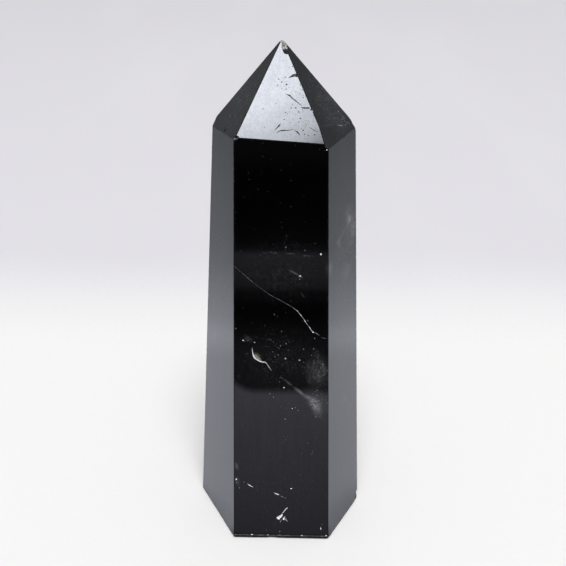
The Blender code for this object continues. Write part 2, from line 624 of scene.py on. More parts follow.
@dataclass(frozen=True)
class Lines:
    """The cracks, hairlines and scratches, each on its facet."""

    open_crack: Groove = Groove(
        FRONT,
        (
            (-4.53, 46.95, 0.03),
            (-4.55, 46.55, 0.10),
            (-4.50, 46.00, 0.14),
            (-4.40, 45.45, 0.19),
            (-4.24, 44.98, 0.23),
            (-4.05, 44.70, 0.24),
            (-3.60, 44.38, 0.25),
            (-3.10, 44.08, 0.23),
            (-2.75, 43.97, 0.23),
            (-2.28, 43.95, 0.17),
            (-2.08, 43.78, 0.13),
            (-1.70, 43.10, 0.10),
            (-1.39, 42.56, 0.08),
            (-1.17, 42.14, 0.03),
        ),
        0.16,
        Finish.CRUSHED,
    )
    hairline: tuple[Groove, ...] = (
        Groove(
            FRONT,
            (
                (-7.60, 63.60, 0.04),
                (-6.28, 62.38, 0.055),
                (-5.49, 61.62, 0.08),
                (-4.77, 60.85, 0.08),
                (-3.89, 60.05, 0.045),
                (-2.70, 59.10, 0.045),
                (-1.63, 58.16, 0.06),
                (-0.25, 57.29, 0.06),
                (0.43, 56.90, 0.075),
                (1.05, 56.51, 0.06),
                (2.35, 55.68, 0.08),
            ),
            0.07,
            Finish.HEALED,
            0.45,
        ),
        Groove(
            FRONT,
            (
                (2.45, 55.60, 0.03),
                (2.90, 55.22, 0.045),
                (3.43, 54.76, 0.05),
                (3.75, 54.35, 0.04),
                (4.03, 53.94, 0.06),
                (4.40, 53.42, 0.04),
                (4.71, 52.93, 0.06),
                (5.09, 52.21, 0.055),
                (5.36, 51.84, 0.045),
                (5.60, 51.50, 0.06),
                (5.92, 50.92, 0.065),
                (6.20, 50.52, 0.06),
            ),
            0.06,
            Finish.CRUSHED,
            0.6,
        ),
        Groove(
            FRONT,
            ((6.45, 50.42, 0.05), (6.73, 50.32, 0.11), (7.24, 49.92, 0.12), (7.50, 49.70, 0.04)),
            0.06,
            Finish.HEALED,
        ),
        Groove(
            FRONT,
            ((7.85, 49.33, 0.04), (8.20, 49.24, 0.10), (8.63, 49.18, 0.05)),
            0.06,
            Finish.HEALED,
        ),
    )
    struck: tuple[Cut, ...] = (
        Groove(
            FRONT,
            (
                (1.88, 8.66, 0.08),
                (1.72, 8.48, 0.19),
                (1.56, 8.27, 0.21),
                (1.15, 7.62, 0.16),
                (0.86, 7.14, 0.12),
            ),
            0.12,
            Finish.CRUSHED,
            0.15,
        ),
        Flake(
            FRONT,
            (
                (0.87, 7.00),
                (0.17, 6.40),
                (-0.33, 5.96),
                (-0.10, 5.60),
                (0.21, 5.34),
                (0.62, 5.96),
                (0.98, 6.58),
            ),
            0.16,
            Finish.CRUSHED,
        ),
        Flake(FRONT, ((1.46, 6.43), (1.12, 5.98), (0.87, 5.47), (1.26, 5.26)), 0.16, Finish.CRUSHED),
        Flake(
            FRONT,
            ((1.52, 6.02), (1.42, 5.42), (1.68, 5.10), (1.95, 5.08), (1.72, 5.50)),
            0.1,
            Finish.FROSTED,
        ),
        Flake(
            FRONT,
            ((0.80, 5.60), (0.58, 5.34), (0.42, 4.86), (0.32, 4.44), (0.56, 4.80)),
            0.1,
            Finish.FROSTED,
        ),
        Groove(
            FRONT,
            ((-6.02, 14.82, 0.08), (-5.73, 14.58, 0.24), (-5.45, 14.36, 0.18), (-5.00, 14.05, 0.08)),
            0.1,
            Finish.CRUSHED,
            0.2,
        ),
        Groove(
            FRONT,
            ((-0.73, 12.56, 0.10), (-0.45, 12.42, 0.22), (-0.10, 12.24, 0.24), (0.18, 12.10, 0.08)),
            0.1,
            Finish.CRUSHED,
            0.2,
        ),
        Groove(
            FRONT,
            ((0.40, 11.96, 0.06), (0.70, 11.76, 0.20), (1.05, 11.52, 0.12), (1.90, 11.12, 0.04)),
            0.07,
            Finish.HEALED,
            0.2,
        ),
        Groove(
            FRONT,
            ((-2.30, 2.60, 0.04), (-2.36, 2.51, 0.16), (-2.48, 2.40, 0.04)),
            0.06,
            Finish.HEALED,
        ),
        Groove(FRONT, ((0.22, 2.25, 0.05), (0.36, 2.08, 0.17), (0.44, 1.95, 0.05)), 0.07, Finish.HEALED),
        Groove(
            FRONT,
            ((0.52, 1.07, 0.05), (0.30, 1.08, 0.16), (0.02, 1.05, 0.12), (-0.20, 1.06, 0.05)),
            0.07,
            Finish.HEALED,
        ),
    )
    tip_strokes: tuple[Groove, ...] = (
        Groove(
            FRONT_TIP,
            (
                (0.55, -8.80, 0.10),
                (1.16, -9.08, 0.22),
                (1.50, -9.46, 0.18),
                (2.30, -10.10, 0.17),
                (2.93, -10.63, 0.08),
            ),
            0.12,
            Finish.SCRATCHED,
        ),
        Groove(
            FRONT_TIP,
            ((1.02, -6.20, 0.08), (1.40, -6.06, 0.30), (1.77, -5.90, 0.46), (2.17, -5.78, 0.44)),
            0.16,
            Finish.SCRATCHED,
        ),
        Groove(
            FRONT_TIP,
            ((2.10, -5.78, 0.10), (2.52, -5.92, 0.18), (2.92, -6.07, 0.10)),
            0.1,
            Finish.SCRATCHED,
        ),
        Groove(
            FRONT_TIP,
            ((2.98, -10.98, 0.12), (3.50, -11.04, 0.32), (4.12, -11.04, 0.24)),
            0.14,
            Finish.SCRATCHED,
        ),
        Groove(
            FRONT_TIP,
            ((4.30, -11.30, 0.10), (4.62, -11.48, 0.22), (4.97, -11.66, 0.08)),
            0.08,
            Finish.HEALED,
        ),
        Groove(
            FRONT_TIP,
            ((2.46, -11.46, 0.06), (2.56, -11.62, 0.15), (2.65, -11.80, 0.06)),
            0.08,
            Finish.SCRATCHED,
        ),
        Groove(
            FRONT_TIP,
            ((-0.35, -13.52, 0.10), (-0.62, -13.83, 0.24), (-0.92, -14.14, 0.16), (-1.31, -14.55, 0.05)),
            0.12,
            Finish.SCRATCHED,
        ),
        Groove(
            FRONT_TIP,
            (
                (-0.98, -14.90, 0.06),
                (-0.60, -14.68, 0.15),
                (-0.15, -14.54, 0.18),
                (0.77, -14.54, 0.15),
                (1.60, -14.37, 0.06),
            ),
            0.1,
            Finish.SCRATCHED,
        ),
        Groove(
            FRONT_TIP,
            ((1.98, -14.62, 0.10), (2.37, -14.90, 0.26), (2.61, -15.32, 0.10)),
            0.1,
            Finish.SCRATCHED,
        ),
        Groove(
            FRONT_TIP,
            ((4.08, -14.02, 0.04), (4.60, -14.36, 0.09), (5.07, -14.68, 0.10), (5.60, -14.68, 0.08)),
            0.06,
            Finish.SCRATCHED,
        ),
        Groove(
            RIGHT_TIP,
            (
                (1.26, -16.02, 0.06),
                (1.50, -16.11, 0.16),
                (1.72, -16.19, 0.26),
                (2.10, -16.32, 0.22),
                (2.62, -16.49, 0.08),
            ),
            0.1,
            Finish.HEALED,
        ),
        Groove(
            RIGHT_TIP,
            ((3.14, -16.58, 0.06), (3.32, -16.65, 0.20), (3.50, -16.71, 0.06)),
            0.08,
            Finish.HEALED,
        ),
        Groove(
            RIGHT_TIP,
            ((-2.30, -15.00, 0.03), (-1.45, -15.14, 0.06), (-0.43, -15.38, 0.05), (0.53, -15.70, 0.06)),
            0.04,
            Finish.HEALED,
        ),
    )
    side_scratches: tuple[Groove, ...] = (
        Groove(
            BACK,
            (
                (-4.2, 58.0, 0.04),
                (-2.6, 55.2, 0.12),
                (-0.4, 52.9, 0.15),
                (2.2, 51.6, 0.10),
                (4.6, 49.0, 0.04),
            ),
            0.07,
            Finish.HEALED,
            0.4,
        ),
        Groove(
            BACK,
            ((3.1, 26.5, 0.05), (3.9, 25.2, 0.22), (5.0, 24.4, 0.16), (5.6, 23.2, 0.05)),
            0.12,
            Finish.CRUSHED,
        ),
        Groove(
            BACK_LEFT,
            ((-3.6, 39.0, 0.04), (-1.2, 36.4, 0.12), (1.6, 35.2, 0.12), (4.4, 32.0, 0.04)),
            0.07,
            Finish.HEALED,
            0.4,
        ),
        Groove(
            BACK_RIGHT,
            ((3.8, 68.0, 0.04), (2.0, 64.4, 0.12), (-0.6, 62.6, 0.10), (-2.8, 59.8, 0.04)),
            0.07,
            Finish.HEALED,
            0.4,
        ),
        Groove(
            BACK_TIP,
            ((-2.4, -9.2, 0.06), (-1.2, -10.4, 0.18), (0.3, -10.9, 0.10), (1.2, -12.0, 0.05)),
            0.09,
            Finish.SCRATCHED,
        ),
        Groove(
            BACK_LEFT_TIP,
            ((0.8, -8.1, 0.06), (1.6, -9.3, 0.14), (1.9, -10.6, 0.05)),
            0.08,
            Finish.SCRATCHED,
        ),
    )


@dataclass(frozen=True)
class Pits:
    """The pits and specks: those with a known place, and loose patches of them."""

    placed: tuple[Pit, ...] = (
        Pit(FRONT, -6.16, 48.53, 0.28, 0.20, 0.08, 0.0, Finish.CRUSHED),
        Pit(FRONT, -4.10, 48.14, 0.22, 0.17, 0.08, 20.0, Finish.CRUSHED),
        Pit(FRONT, 0.71, 50.54, 0.18, 0.12, 0.06, 30.0, Finish.HEALED),
        Pit(FRONT, -1.17, 48.68, 0.14, 0.12, 0.06, 0.0, Finish.HEALED),
        Pit(FRONT, 0.52, 47.52, 0.30, 0.16, 0.08, 80.0, Finish.HEALED),
        Pit(FRONT, 1.52, 47.98, 0.24, 0.18, 0.1, 60.0, Finish.HEALED),
        Pit(FRONT, 0.12, 45.56, 0.28, 0.18, 0.08, 70.0, Finish.HEALED),
        Pit(FRONT, -0.46, 45.10, 0.20, 0.15, 0.08, 0.0, Finish.HEALED),
        Pit(FRONT, 1.39, 44.78, 0.26, 0.16, 0.08, 90.0, Finish.CRUSHED),
        Pit(FRONT, 3.95, 44.46, 0.32, 0.16, 0.08, 10.0, Finish.CRUSHED),
        Pit(FRONT, 1.17, 38.37, 0.28, 0.24, 0.1, 0.0, Finish.CRUSHED),
        Pit(FRONT, 0.33, 39.64, 0.14, 0.12, 0.06, 0.0, Finish.HEALED),
        Pit(FRONT, -1.42, 36.92, 0.22, 0.16, 0.06, 0.0, Finish.HEALED),
        Pit(FRONT, -0.77, 36.13, 0.22, 0.16, 0.06, 0.0, Finish.HEALED),
        Pit(FRONT, 2.70, 33.58, 0.20, 0.16, 0.07, 0.0, Finish.CRUSHED),
        Pit(FRONT, 3.28, 33.78, 0.20, 0.16, 0.07, 0.0, Finish.HEALED),
        Pit(FRONT, 3.82, 33.14, 0.18, 0.14, 0.06, 0.0, Finish.HEALED),
        Pit(FRONT, 7.57, 35.49, 0.26, 0.18, 0.08, 20.0, Finish.HEALED),
        Pit(FRONT, 8.05, 37.10, 0.20, 0.16, 0.07, 0.0, Finish.HEALED),
        Pit(FRONT, 7.13, 31.73, 0.22, 0.16, 0.07, 0.0, Finish.HEALED),
        Pit(FRONT, 6.61, 49.15, 0.24, 0.15, 0.08, -45.0, Finish.HEALED),
        Pit(FRONT, 6.47, 46.95, 0.26, 0.15, 0.08, 80.0, Finish.HEALED),
        Pit(FRONT, 7.32, 65.86, 0.40, 0.28, 0.12, 90.0, Finish.CRUSHED),
        Pit(FRONT, 1.43, 67.09, 0.20, 0.16, 0.07, 0.0, Finish.HEALED),
        Pit(FRONT, 4.60, 66.52, 0.18, 0.14, 0.06, 0.0, Finish.HEALED),
        Pit(FRONT, 3.90, 61.67, 0.30, 0.22, 0.08, -30.0, Finish.CRUSHED),
        Pit(FRONT, 3.79, 61.00, 0.22, 0.16, 0.07, 60.0, Finish.HEALED),
        Pit(FRONT, -0.55, 53.97, 0.18, 0.15, 0.06, 0.0, Finish.HEALED),
        Pit(FRONT, 5.31, 52.85, 0.20, 0.15, 0.06, 0.0, Finish.HEALED),
        Pit(FRONT, 3.45, 54.78, 0.26, 0.18, 0.1, -40.0, Finish.CRUSHED),
        Pit(FRONT, 4.08, 53.90, 0.22, 0.18, 0.1, 0.0, Finish.CRUSHED),
        Pit(FRONT, 4.82, 52.70, 0.26, 0.18, 0.1, -60.0, Finish.CRUSHED),
        Pit(FRONT, 5.66, 51.40, 0.22, 0.16, 0.1, -60.0, Finish.CRUSHED),
        Pit(FRONT, 6.26, 50.46, 0.30, 0.24, 0.11, -60.0, Finish.CRUSHED),
        Pit(FRONT, -7.39, 51.04, 0.26, 0.15, 0.07, 80.0, Finish.HEALED),
        Pit(FRONT, 7.80, 84.10, 0.22, 0.16, 0.08, 40.0, Finish.CRUSHED),
        Pit(FRONT, -6.73, 15.33, 0.22, 0.14, 0.07, 40.0, Finish.HEALED),
        Pit(FRONT, -8.26, 15.99, 0.50, 0.24, 0.12, 80.0, Finish.CRUSHED),
        Pit(FRONT, -8.18, 15.20, 0.30, 0.18, 0.1, 80.0, Finish.HEALED),
        Pit(FRONT, -7.68, 13.81, 0.26, 0.18, 0.1, 60.0, Finish.HEALED),
        Pit(FRONT, 2.61, 13.81, 0.40, 0.24, 0.12, 0.0, Finish.CRUSHED),
        # A small pit whose pale fill is a painted glint, and above it a fainter pit that carries the glint's
        # dim end.
        Pit(FRONT, 8.75, 3.15, 0.80, 0.15, 0.10, 91.0, Finish.CRUSHED),
        Pit(FRONT, 8.98, 4.29, 0.40, 0.14, 0.06, 88.0, Finish.HEALED),
        Pit(FRONT, 6.55, 22.70, 0.20, 0.15, 0.08, 0.0, Finish.HEALED),
        Pit(FRONT, 1.40, 31.10, 0.30, 0.22, 0.07, 0.0, Finish.HEALED),
        Pit(FRONT, 1.39, 26.10, 0.18, 0.14, 0.07, 0.0, Finish.HEALED),
        Pit(FRONT, -5.40, 1.10, 0.50, 0.20, 0.1, 0.0, Finish.CRUSHED),
        Pit(FRONT, -2.10, 1.10, 0.34, 0.18, 0.1, 0.0, Finish.CRUSHED),
        Pit(FRONT, 4.90, 1.10, 0.42, 0.18, 0.1, 0.0, Finish.CRUSHED),
        Pit(FRONT, 9.90, 1.15, 0.34, 0.24, 0.1, 0.0, Finish.CRUSHED),
        Pit(FRONT_TIP, 0.50, -6.16, 0.24, 0.18, 0.1, 0.0, Finish.SCRATCHED),
        Pit(FRONT_TIP, -0.54, -6.44, 0.22, 0.16, 0.08, 40.0, Finish.SCRATCHED),
        Pit(FRONT_TIP, -0.08, -6.91, 0.24, 0.17, 0.09, 50.0, Finish.SCRATCHED),
        Pit(FRONT_TIP, 0.66, -7.32, 0.32, 0.22, 0.1, 30.0, Finish.SCRATCHED),
        Pit(FRONT_TIP, -0.78, -7.49, 0.20, 0.15, 0.08, 0.0, Finish.SCRATCHED),
        Pit(FRONT_TIP, 0.60, -8.01, 0.20, 0.15, 0.08, 0.0, Finish.SCRATCHED),
        Pit(FRONT_TIP, 3.23, -9.41, 0.20, 0.15, 0.08, 0.0, Finish.SCRATCHED),
        Pit(FRONT_TIP, -1.03, -10.32, 0.16, 0.13, 0.06, 0.0, Finish.SCRATCHED),
        Pit(FRONT_TIP, 1.32, -11.02, 0.22, 0.17, 0.09, 0.0, Finish.SCRATCHED),
        Pit(FRONT_TIP, 2.06, -11.00, 0.26, 0.20, 0.1, 0.0, Finish.SCRATCHED),
        Pit(FRONT_TIP, 0.45, -11.71, 0.20, 0.15, 0.08, 0.0, Finish.SCRATCHED),
        Pit(FRONT_TIP, 0.72, -11.92, 0.16, 0.12, 0.06, 0.0, Finish.SCRATCHED),
        Pit(FRONT_TIP, 0.21, -12.81, 0.20, 0.16, 0.08, 0.0, Finish.SCRATCHED),
        Pit(FRONT_TIP, 2.74, -12.65, 0.26, 0.20, 0.1, 0.0, Finish.SCRATCHED),
        Pit(FRONT_TIP, 2.50, -13.22, 0.20, 0.16, 0.08, 0.0, Finish.SCRATCHED),
        Pit(FRONT_TIP, 1.13, -13.33, 0.16, 0.12, 0.06, 0.0, Finish.SCRATCHED),
        Pit(FRONT_TIP, 3.18, -14.55, 0.26, 0.20, 0.1, 0.0, Finish.SCRATCHED),
        Pit(FRONT_TIP, 3.40, -15.19, 0.22, 0.17, 0.09, 0.0, Finish.SCRATCHED),
        Pit(FRONT_TIP, 3.98, -15.37, 0.20, 0.15, 0.08, 0.0, Finish.SCRATCHED),
        Pit(FRONT_TIP, 4.95, -15.26, 0.24, 0.18, 0.09, 0.0, Finish.SCRATCHED),
        Pit(FRONT_TIP, -3.04, -11.17, 0.18, 0.15, 0.07, 0.0, Finish.SCRATCHED),
        Pit(FRONT_TIP, -2.89, -14.00, 0.16, 0.12, 0.06, 0.0, Finish.SCRATCHED),
        Pit(FRONT_TIP, 1.61, -4.48, 0.26, 0.14, 0.08, -60.0, Finish.SCRATCHED),
        Pit(FRONT_TIP, 2.79, -7.39, 0.26, 0.14, 0.08, -60.0, Finish.SCRATCHED),
        Pit(FRONT_TIP, 3.07, -8.14, 0.24, 0.14, 0.08, -60.0, Finish.SCRATCHED),
        Pit(LEFT_TIP, 0.50, -16.85, 0.70, 0.42, 0.14, 90.0, Finish.WORN_EDGE),
        Pit(LEFT_TIP, -0.56, -14.58, 0.24, 0.16, 0.08, 0.0, Finish.HEALED),
        Pit(LEFT_TIP, 4.10, -16.10, 0.60, 0.34, 0.1, 60.0, Finish.SCRATCHED),
        Pit(RIGHT_TIP, 0.37, -17.75, 0.28, 0.24, 0.12, 0.0, Finish.WORN_EDGE),
        Pit(RIGHT_TIP, -0.10, -17.75, 0.26, 0.20, 0.1, 0.0, Finish.FROSTED),
        Pit(RIGHT_TIP, 3.59, -14.24, 0.22, 0.16, 0.08, 0.0, Finish.HEALED),
    )
    patches: tuple[PitPatch, ...] = (
        PitPatch(FRONT, 1.5, 72.0, 14.0, 18.0, 0.0, 3, (0.05, 0.07), Finish.HEALED),
        PitPatch(FRONT, 1.5, 45.8, 9.0, 6.0, -30.0, 14, (0.07, 0.13), Finish.HEALED),
        PitPatch(FRONT, 7.6, 42.6, 7.0, 2.6, -70.0, 14, (0.08, 0.17), Finish.HEALED),
        PitPatch(FRONT, 7.3, 36.0, 5.0, 3.0, -50.0, 12, (0.08, 0.15), Finish.HEALED),
        PitPatch(FRONT, -1.0, 20.0, 17.0, 30.0, 0.0, 14, (0.06, 0.11), Finish.HEALED),
        PitPatch(FRONT_TIP, 1.9, -11.6, 3.0, 3.4, 0.0, 10, (0.06, 0.12), Finish.SCRATCHED),
        PitPatch(FRONT_TIP, -0.1, -7.0, 3.4, 1.6, -52.0, 34, (0.05, 0.10), Finish.SCRATCHED),
        PitPatch(FRONT_TIP, 1.6, -4.5, 3.0, 1.4, -62.0, 14, (0.05, 0.09), Finish.SCRATCHED),
        PitPatch(FRONT_TIP, 2.6, -8.6, 4.4, 1.6, -62.0, 20, (0.05, 0.10), Finish.SCRATCHED),
        PitPatch(FRONT_TIP, 3.4, -13.4, 5.0, 3.6, -30.0, 34, (0.05, 0.10), Finish.SCRATCHED),
        PitPatch(FRONT_TIP, 2.6, -14.7, 7.0, 1.4, 0.0, 8, (0.06, 0.10), Finish.SCRATCHED),
        PitPatch(RIGHT_TIP, 3.8, -15.9, 2.6, 1.1, -65.0, 18, (0.07, 0.13), Finish.HEALED),
        PitPatch(LEFT_TIP, 0.5, -11.0, 5.0, 8.0, 0.0, 8, (0.06, 0.12), Finish.SCRATCHED),
        PitPatch(BACK, 0.0, 45.0, 14.0, 60.0, 0.0, 30, (0.06, 0.2), Finish.HEALED),
        PitPatch(BACK_LEFT, 0.0, 40.0, 11.0, 60.0, 0.0, 20, (0.06, 0.16), Finish.HEALED),
        PitPatch(BACK_RIGHT, 0.0, 40.0, 11.0, 60.0, 0.0, 20, (0.06, 0.16), Finish.HEALED),
        PitPatch(FRONT_LEFT, 0.0, 40.0, 9.0, 60.0, 0.0, 12, (0.05, 0.11), Finish.HEALED),
        PitPatch(FRONT_RIGHT, 0.0, 40.0, 9.0, 60.0, 0.0, 12, (0.05, 0.11), Finish.HEALED),
        PitPatch(BACK_TIP, 0.0, -10.0, 6.0, 8.0, 0.0, 10, (0.07, 0.16), Finish.SCRATCHED),
    )
    seed: int = 20

    CLEAR = 0.7  # Smallest distance between two pits, as a share of their lengths

    def cuts(self) -> list[Pit]:
        """List the pits, leaving out those that would run into each other.

        Returns:
            The placed pits and the scattered ones that stand clear.
        """
        dice = random.Random(self.seed)
        kept: list[Pit] = []
        for pit in [*self.placed, *(pit for patch in self.patches for pit in patch.pits(dice))]:
            middle = pit.facet.at(pit.across, pit.up)
            gaps = ((middle - other.facet.at(other.across, other.up)).length for other in kept)
            needs = ((pit.length + other.length) * self.CLEAR * MM for other in kept)
            if all(gap > need for gap, need in zip(gaps, needs)):
                kept.append(pit)
        return kept


Feed = object  # A number, a colour or another node's socket


class Recipe:
    """A material being mixed: it adds shader nodes and joins them."""

    def __init__(self, name: str, world: bool = False) -> None:
        """Start an empty material.

        Args:
            name: Name of the material.
            world: Whether it is the world's surroundings and not a surface.
        """
        store = bpy.data.worlds if world else bpy.data.materials
        self.made = store.new(name)
        self.made.use_nodes = True
        self.tree = self.made.node_tree
        self.tree.nodes.clear()
        self.end = self.tree.nodes.new("ShaderNodeOutputWorld" if world else "ShaderNodeOutputMaterial")

    def feed(self, socket: bpy.types.NodeSocket, value: Feed) -> None:
        """Link a socket to another, or set it.

        Args:
            socket: Input that is fed.
            value: Output socket, number or colour.
        """
        if isinstance(value, bpy.types.NodeSocket):
            self.tree.links.new(value, socket)
        else:
            socket.default_value = value

    def add(
        self, kind: str, feeds: dict[str | int, Feed] | None = None, **settings: object
    ) -> bpy.types.Node:
        """Add a node.

        Args:
            kind: Blender's name for the node.
            feeds: Values of its inputs.
            **settings: Values of its own settings.

        Returns:
            The node.
        """
        node = self.tree.nodes.new(kind)
        for name, value in settings.items():
            setattr(node, name, value)
        for name, value in (feeds or {}).items():
            self.feed(node.inputs[name], value)
        return node

    def place(self) -> bpy.types.NodeSocket:
        """Place on the object, in metres."""
        return self.add("ShaderNodeTexCoord").outputs["Object"]

    def math(self, operation: str, first: Feed, second: Feed = 0.0) -> bpy.types.NodeSocket:
        """Work out one sum.

        Args:
            operation: Blender's name for the sum.
            first: First value.
            second: Second value.

        Returns:
            The result.
        """
        return self.add("ShaderNodeMath", {0: first, 1: second}, operation=operation).outputs[0]

    def spread(
        self, value: Feed, low: float, high: float, to_low: float, to_high: float
    ) -> bpy.types.NodeSocket:
        """Map a range softly to another.

        Args:
            value: Value that is mapped.
            low: Value that gives to_low.
            high: Value that gives to_high.
            to_low: Result at the low end.
            to_high: Result at the high end.

        Returns:
            The mapped value.
        """
        feeds = {"Value": value, "From Min": low, "From Max": high, "To Min": to_low, "To Max": to_high}
        return self.add("ShaderNodeMapRange", feeds, interpolation_type="SMOOTHSTEP").outputs["Result"]

    def grain(
        self, place: Feed, size: float, detail: float = 4.0, rough: float = 0.55
    ) -> bpy.types.NodeSocket:
        """Even noise from 0 to 1.

        Args:
            place: Place that the noise is read at.
            size: Size of its lumps.
            detail: Number of finer layers.
            rough: Strength of the finer layers.

        Returns:
            The noise.
        """
        feeds = {"Vector": place, "Scale": 1.0 / (size * MM), "Detail": detail, "Roughness": rough}
        return self.add("ShaderNodeTexNoise", feeds).outputs["Fac"]

    def stretched(self, place: Feed, sizes: tuple[float, float, float]) -> bpy.types.NodeSocket:
        """Squeeze places, so that what is read there comes out stretched.

        Args:
            place: Place that is changed.
            sizes: How far the pattern is stretched along X, Y and Z.

        Returns:
            The changed place.
        """
        feeds = {"Vector": place, "Scale": sizes}
        return self.add("ShaderNodeMapping", feeds, vector_type="TEXTURE").outputs[0]

    def ramp(
        self, value: Feed, stops: tuple[tuple[float, float], ...], reach: float
    ) -> bpy.types.NodeSocket:
        """Read a brightness off a few stops.

        Args:
            value: Distance in millimetres.
            stops: Distance and brightness of each stop, nearest first.
            reach: Distance at the far end.

        Returns:
            The brightness.
        """
        most = max(brightness for _, brightness in stops)
        node = self.add("ShaderNodeValToRGB", {"Fac": self.math("DIVIDE", value, reach)})
        scale = node.color_ramp.elements
        while len(scale) < len(stops):
            scale.new(1.0)
        for element, (distance, brightness) in zip(scale, stops):
            element.position = distance / reach
            element.color = (brightness / most,) * 3 + (1.0,)
        return self.math("MULTIPLY", node.outputs["Color"], most)

    def blend(self, share: Feed, first: Feed, second: Feed) -> bpy.types.NodeSocket:
        """Blend two colours.

        Args:
            share: Share of the second colour.
            first: First colour.
            second: Second colour.

        Returns:
            The blended colour.
        """
        return self.add("ShaderNodeMix", {0: share, 6: first, 7: second}, data_type="RGBA").outputs[2]

    def bump(self, height: Feed, depth: float, under: Feed | None = None) -> bpy.types.NodeSocket:
        """Tilt the surface by a height pattern.

        Args:
            height: Height from 0 to 1.
            depth: What a height of 1 stands for.
            under: Normal that is tilted further.

        Returns:
            The tilted normal.
        """
        feeds = {"Height": height, "Distance": depth * MM, "Strength": 1.0}
        if under is not None:
            feeds["Normal"] = under
        return self.add("ShaderNodeBump", feeds).outputs["Normal"]

    def surface(self, shader: bpy.types.Node) -> bpy.types.Material:
        """Finish the recipe.

        Args:
            shader: Last shader node.

        Returns:
            The material.
        """
        self.tree.links.new(shader.outputs[0], self.end.inputs["Surface"])
        return self.made


class Texture(Enum):
    """What the inside of a veil looks like, as the size of its lumps and its contrast."""

    HAZE = (2.6, 0.30, 0.70)
    CLOUD = (0.9, 0.42, 0.66)
    WISP = (0.38, 0.44, 0.62)
    GRAIN = (0.30, 0.52, 0.72)
    MIST = (1.3, 0.10, 0.60)


@dataclass(frozen=True)
class Veil:
    """A pale cloud or wisp just under the polish.

    Attributes:
        facet: Facet that it shows through.
        across: Middle, across.
        up: Middle, up.
        length: Length.
        width: Width.
        turn: Degrees that its length is turned from across towards up.
        tone: Brightness at its thickest, from 0 to 1.
        texture: What its inside looks like.
    """

    facet: Facet
    across: float
    up: float
    length: float
    width: float
    turn: float
    tone: float
    texture: Texture = Texture.CLOUD

    THICKNESS = 3.0

    def shade(self, recipe: Recipe, place: Feed, noises: dict[Texture, Feed]) -> bpy.types.NodeSocket:
        """Work out how bright the veil is at each place.

        Args:
            recipe: Material that it is part of.
            place: Place on the stone.
            noises: Noise for each texture.

        Returns:
            The brightness.
        """
        feeds = {
            "Vector": place,
            "Location": self.facet.at(self.across, self.up),
            "Rotation": self.facet.turned(self.turn).to_euler(),
            "Scale": Vector((self.length, self.width, self.THICKNESS)) / 2 * MM,
        }
        inside = recipe.add("ShaderNodeMapping", feeds, vector_type="TEXTURE").outputs[0]
        away = recipe.add("ShaderNodeVectorMath", {0: inside}, operation="LENGTH").outputs["Value"]
        fade = recipe.spread(away, 0.15, 1.0, self.tone, 0.0)
        return recipe.math("MULTIPLY", fade, noises[self.texture])


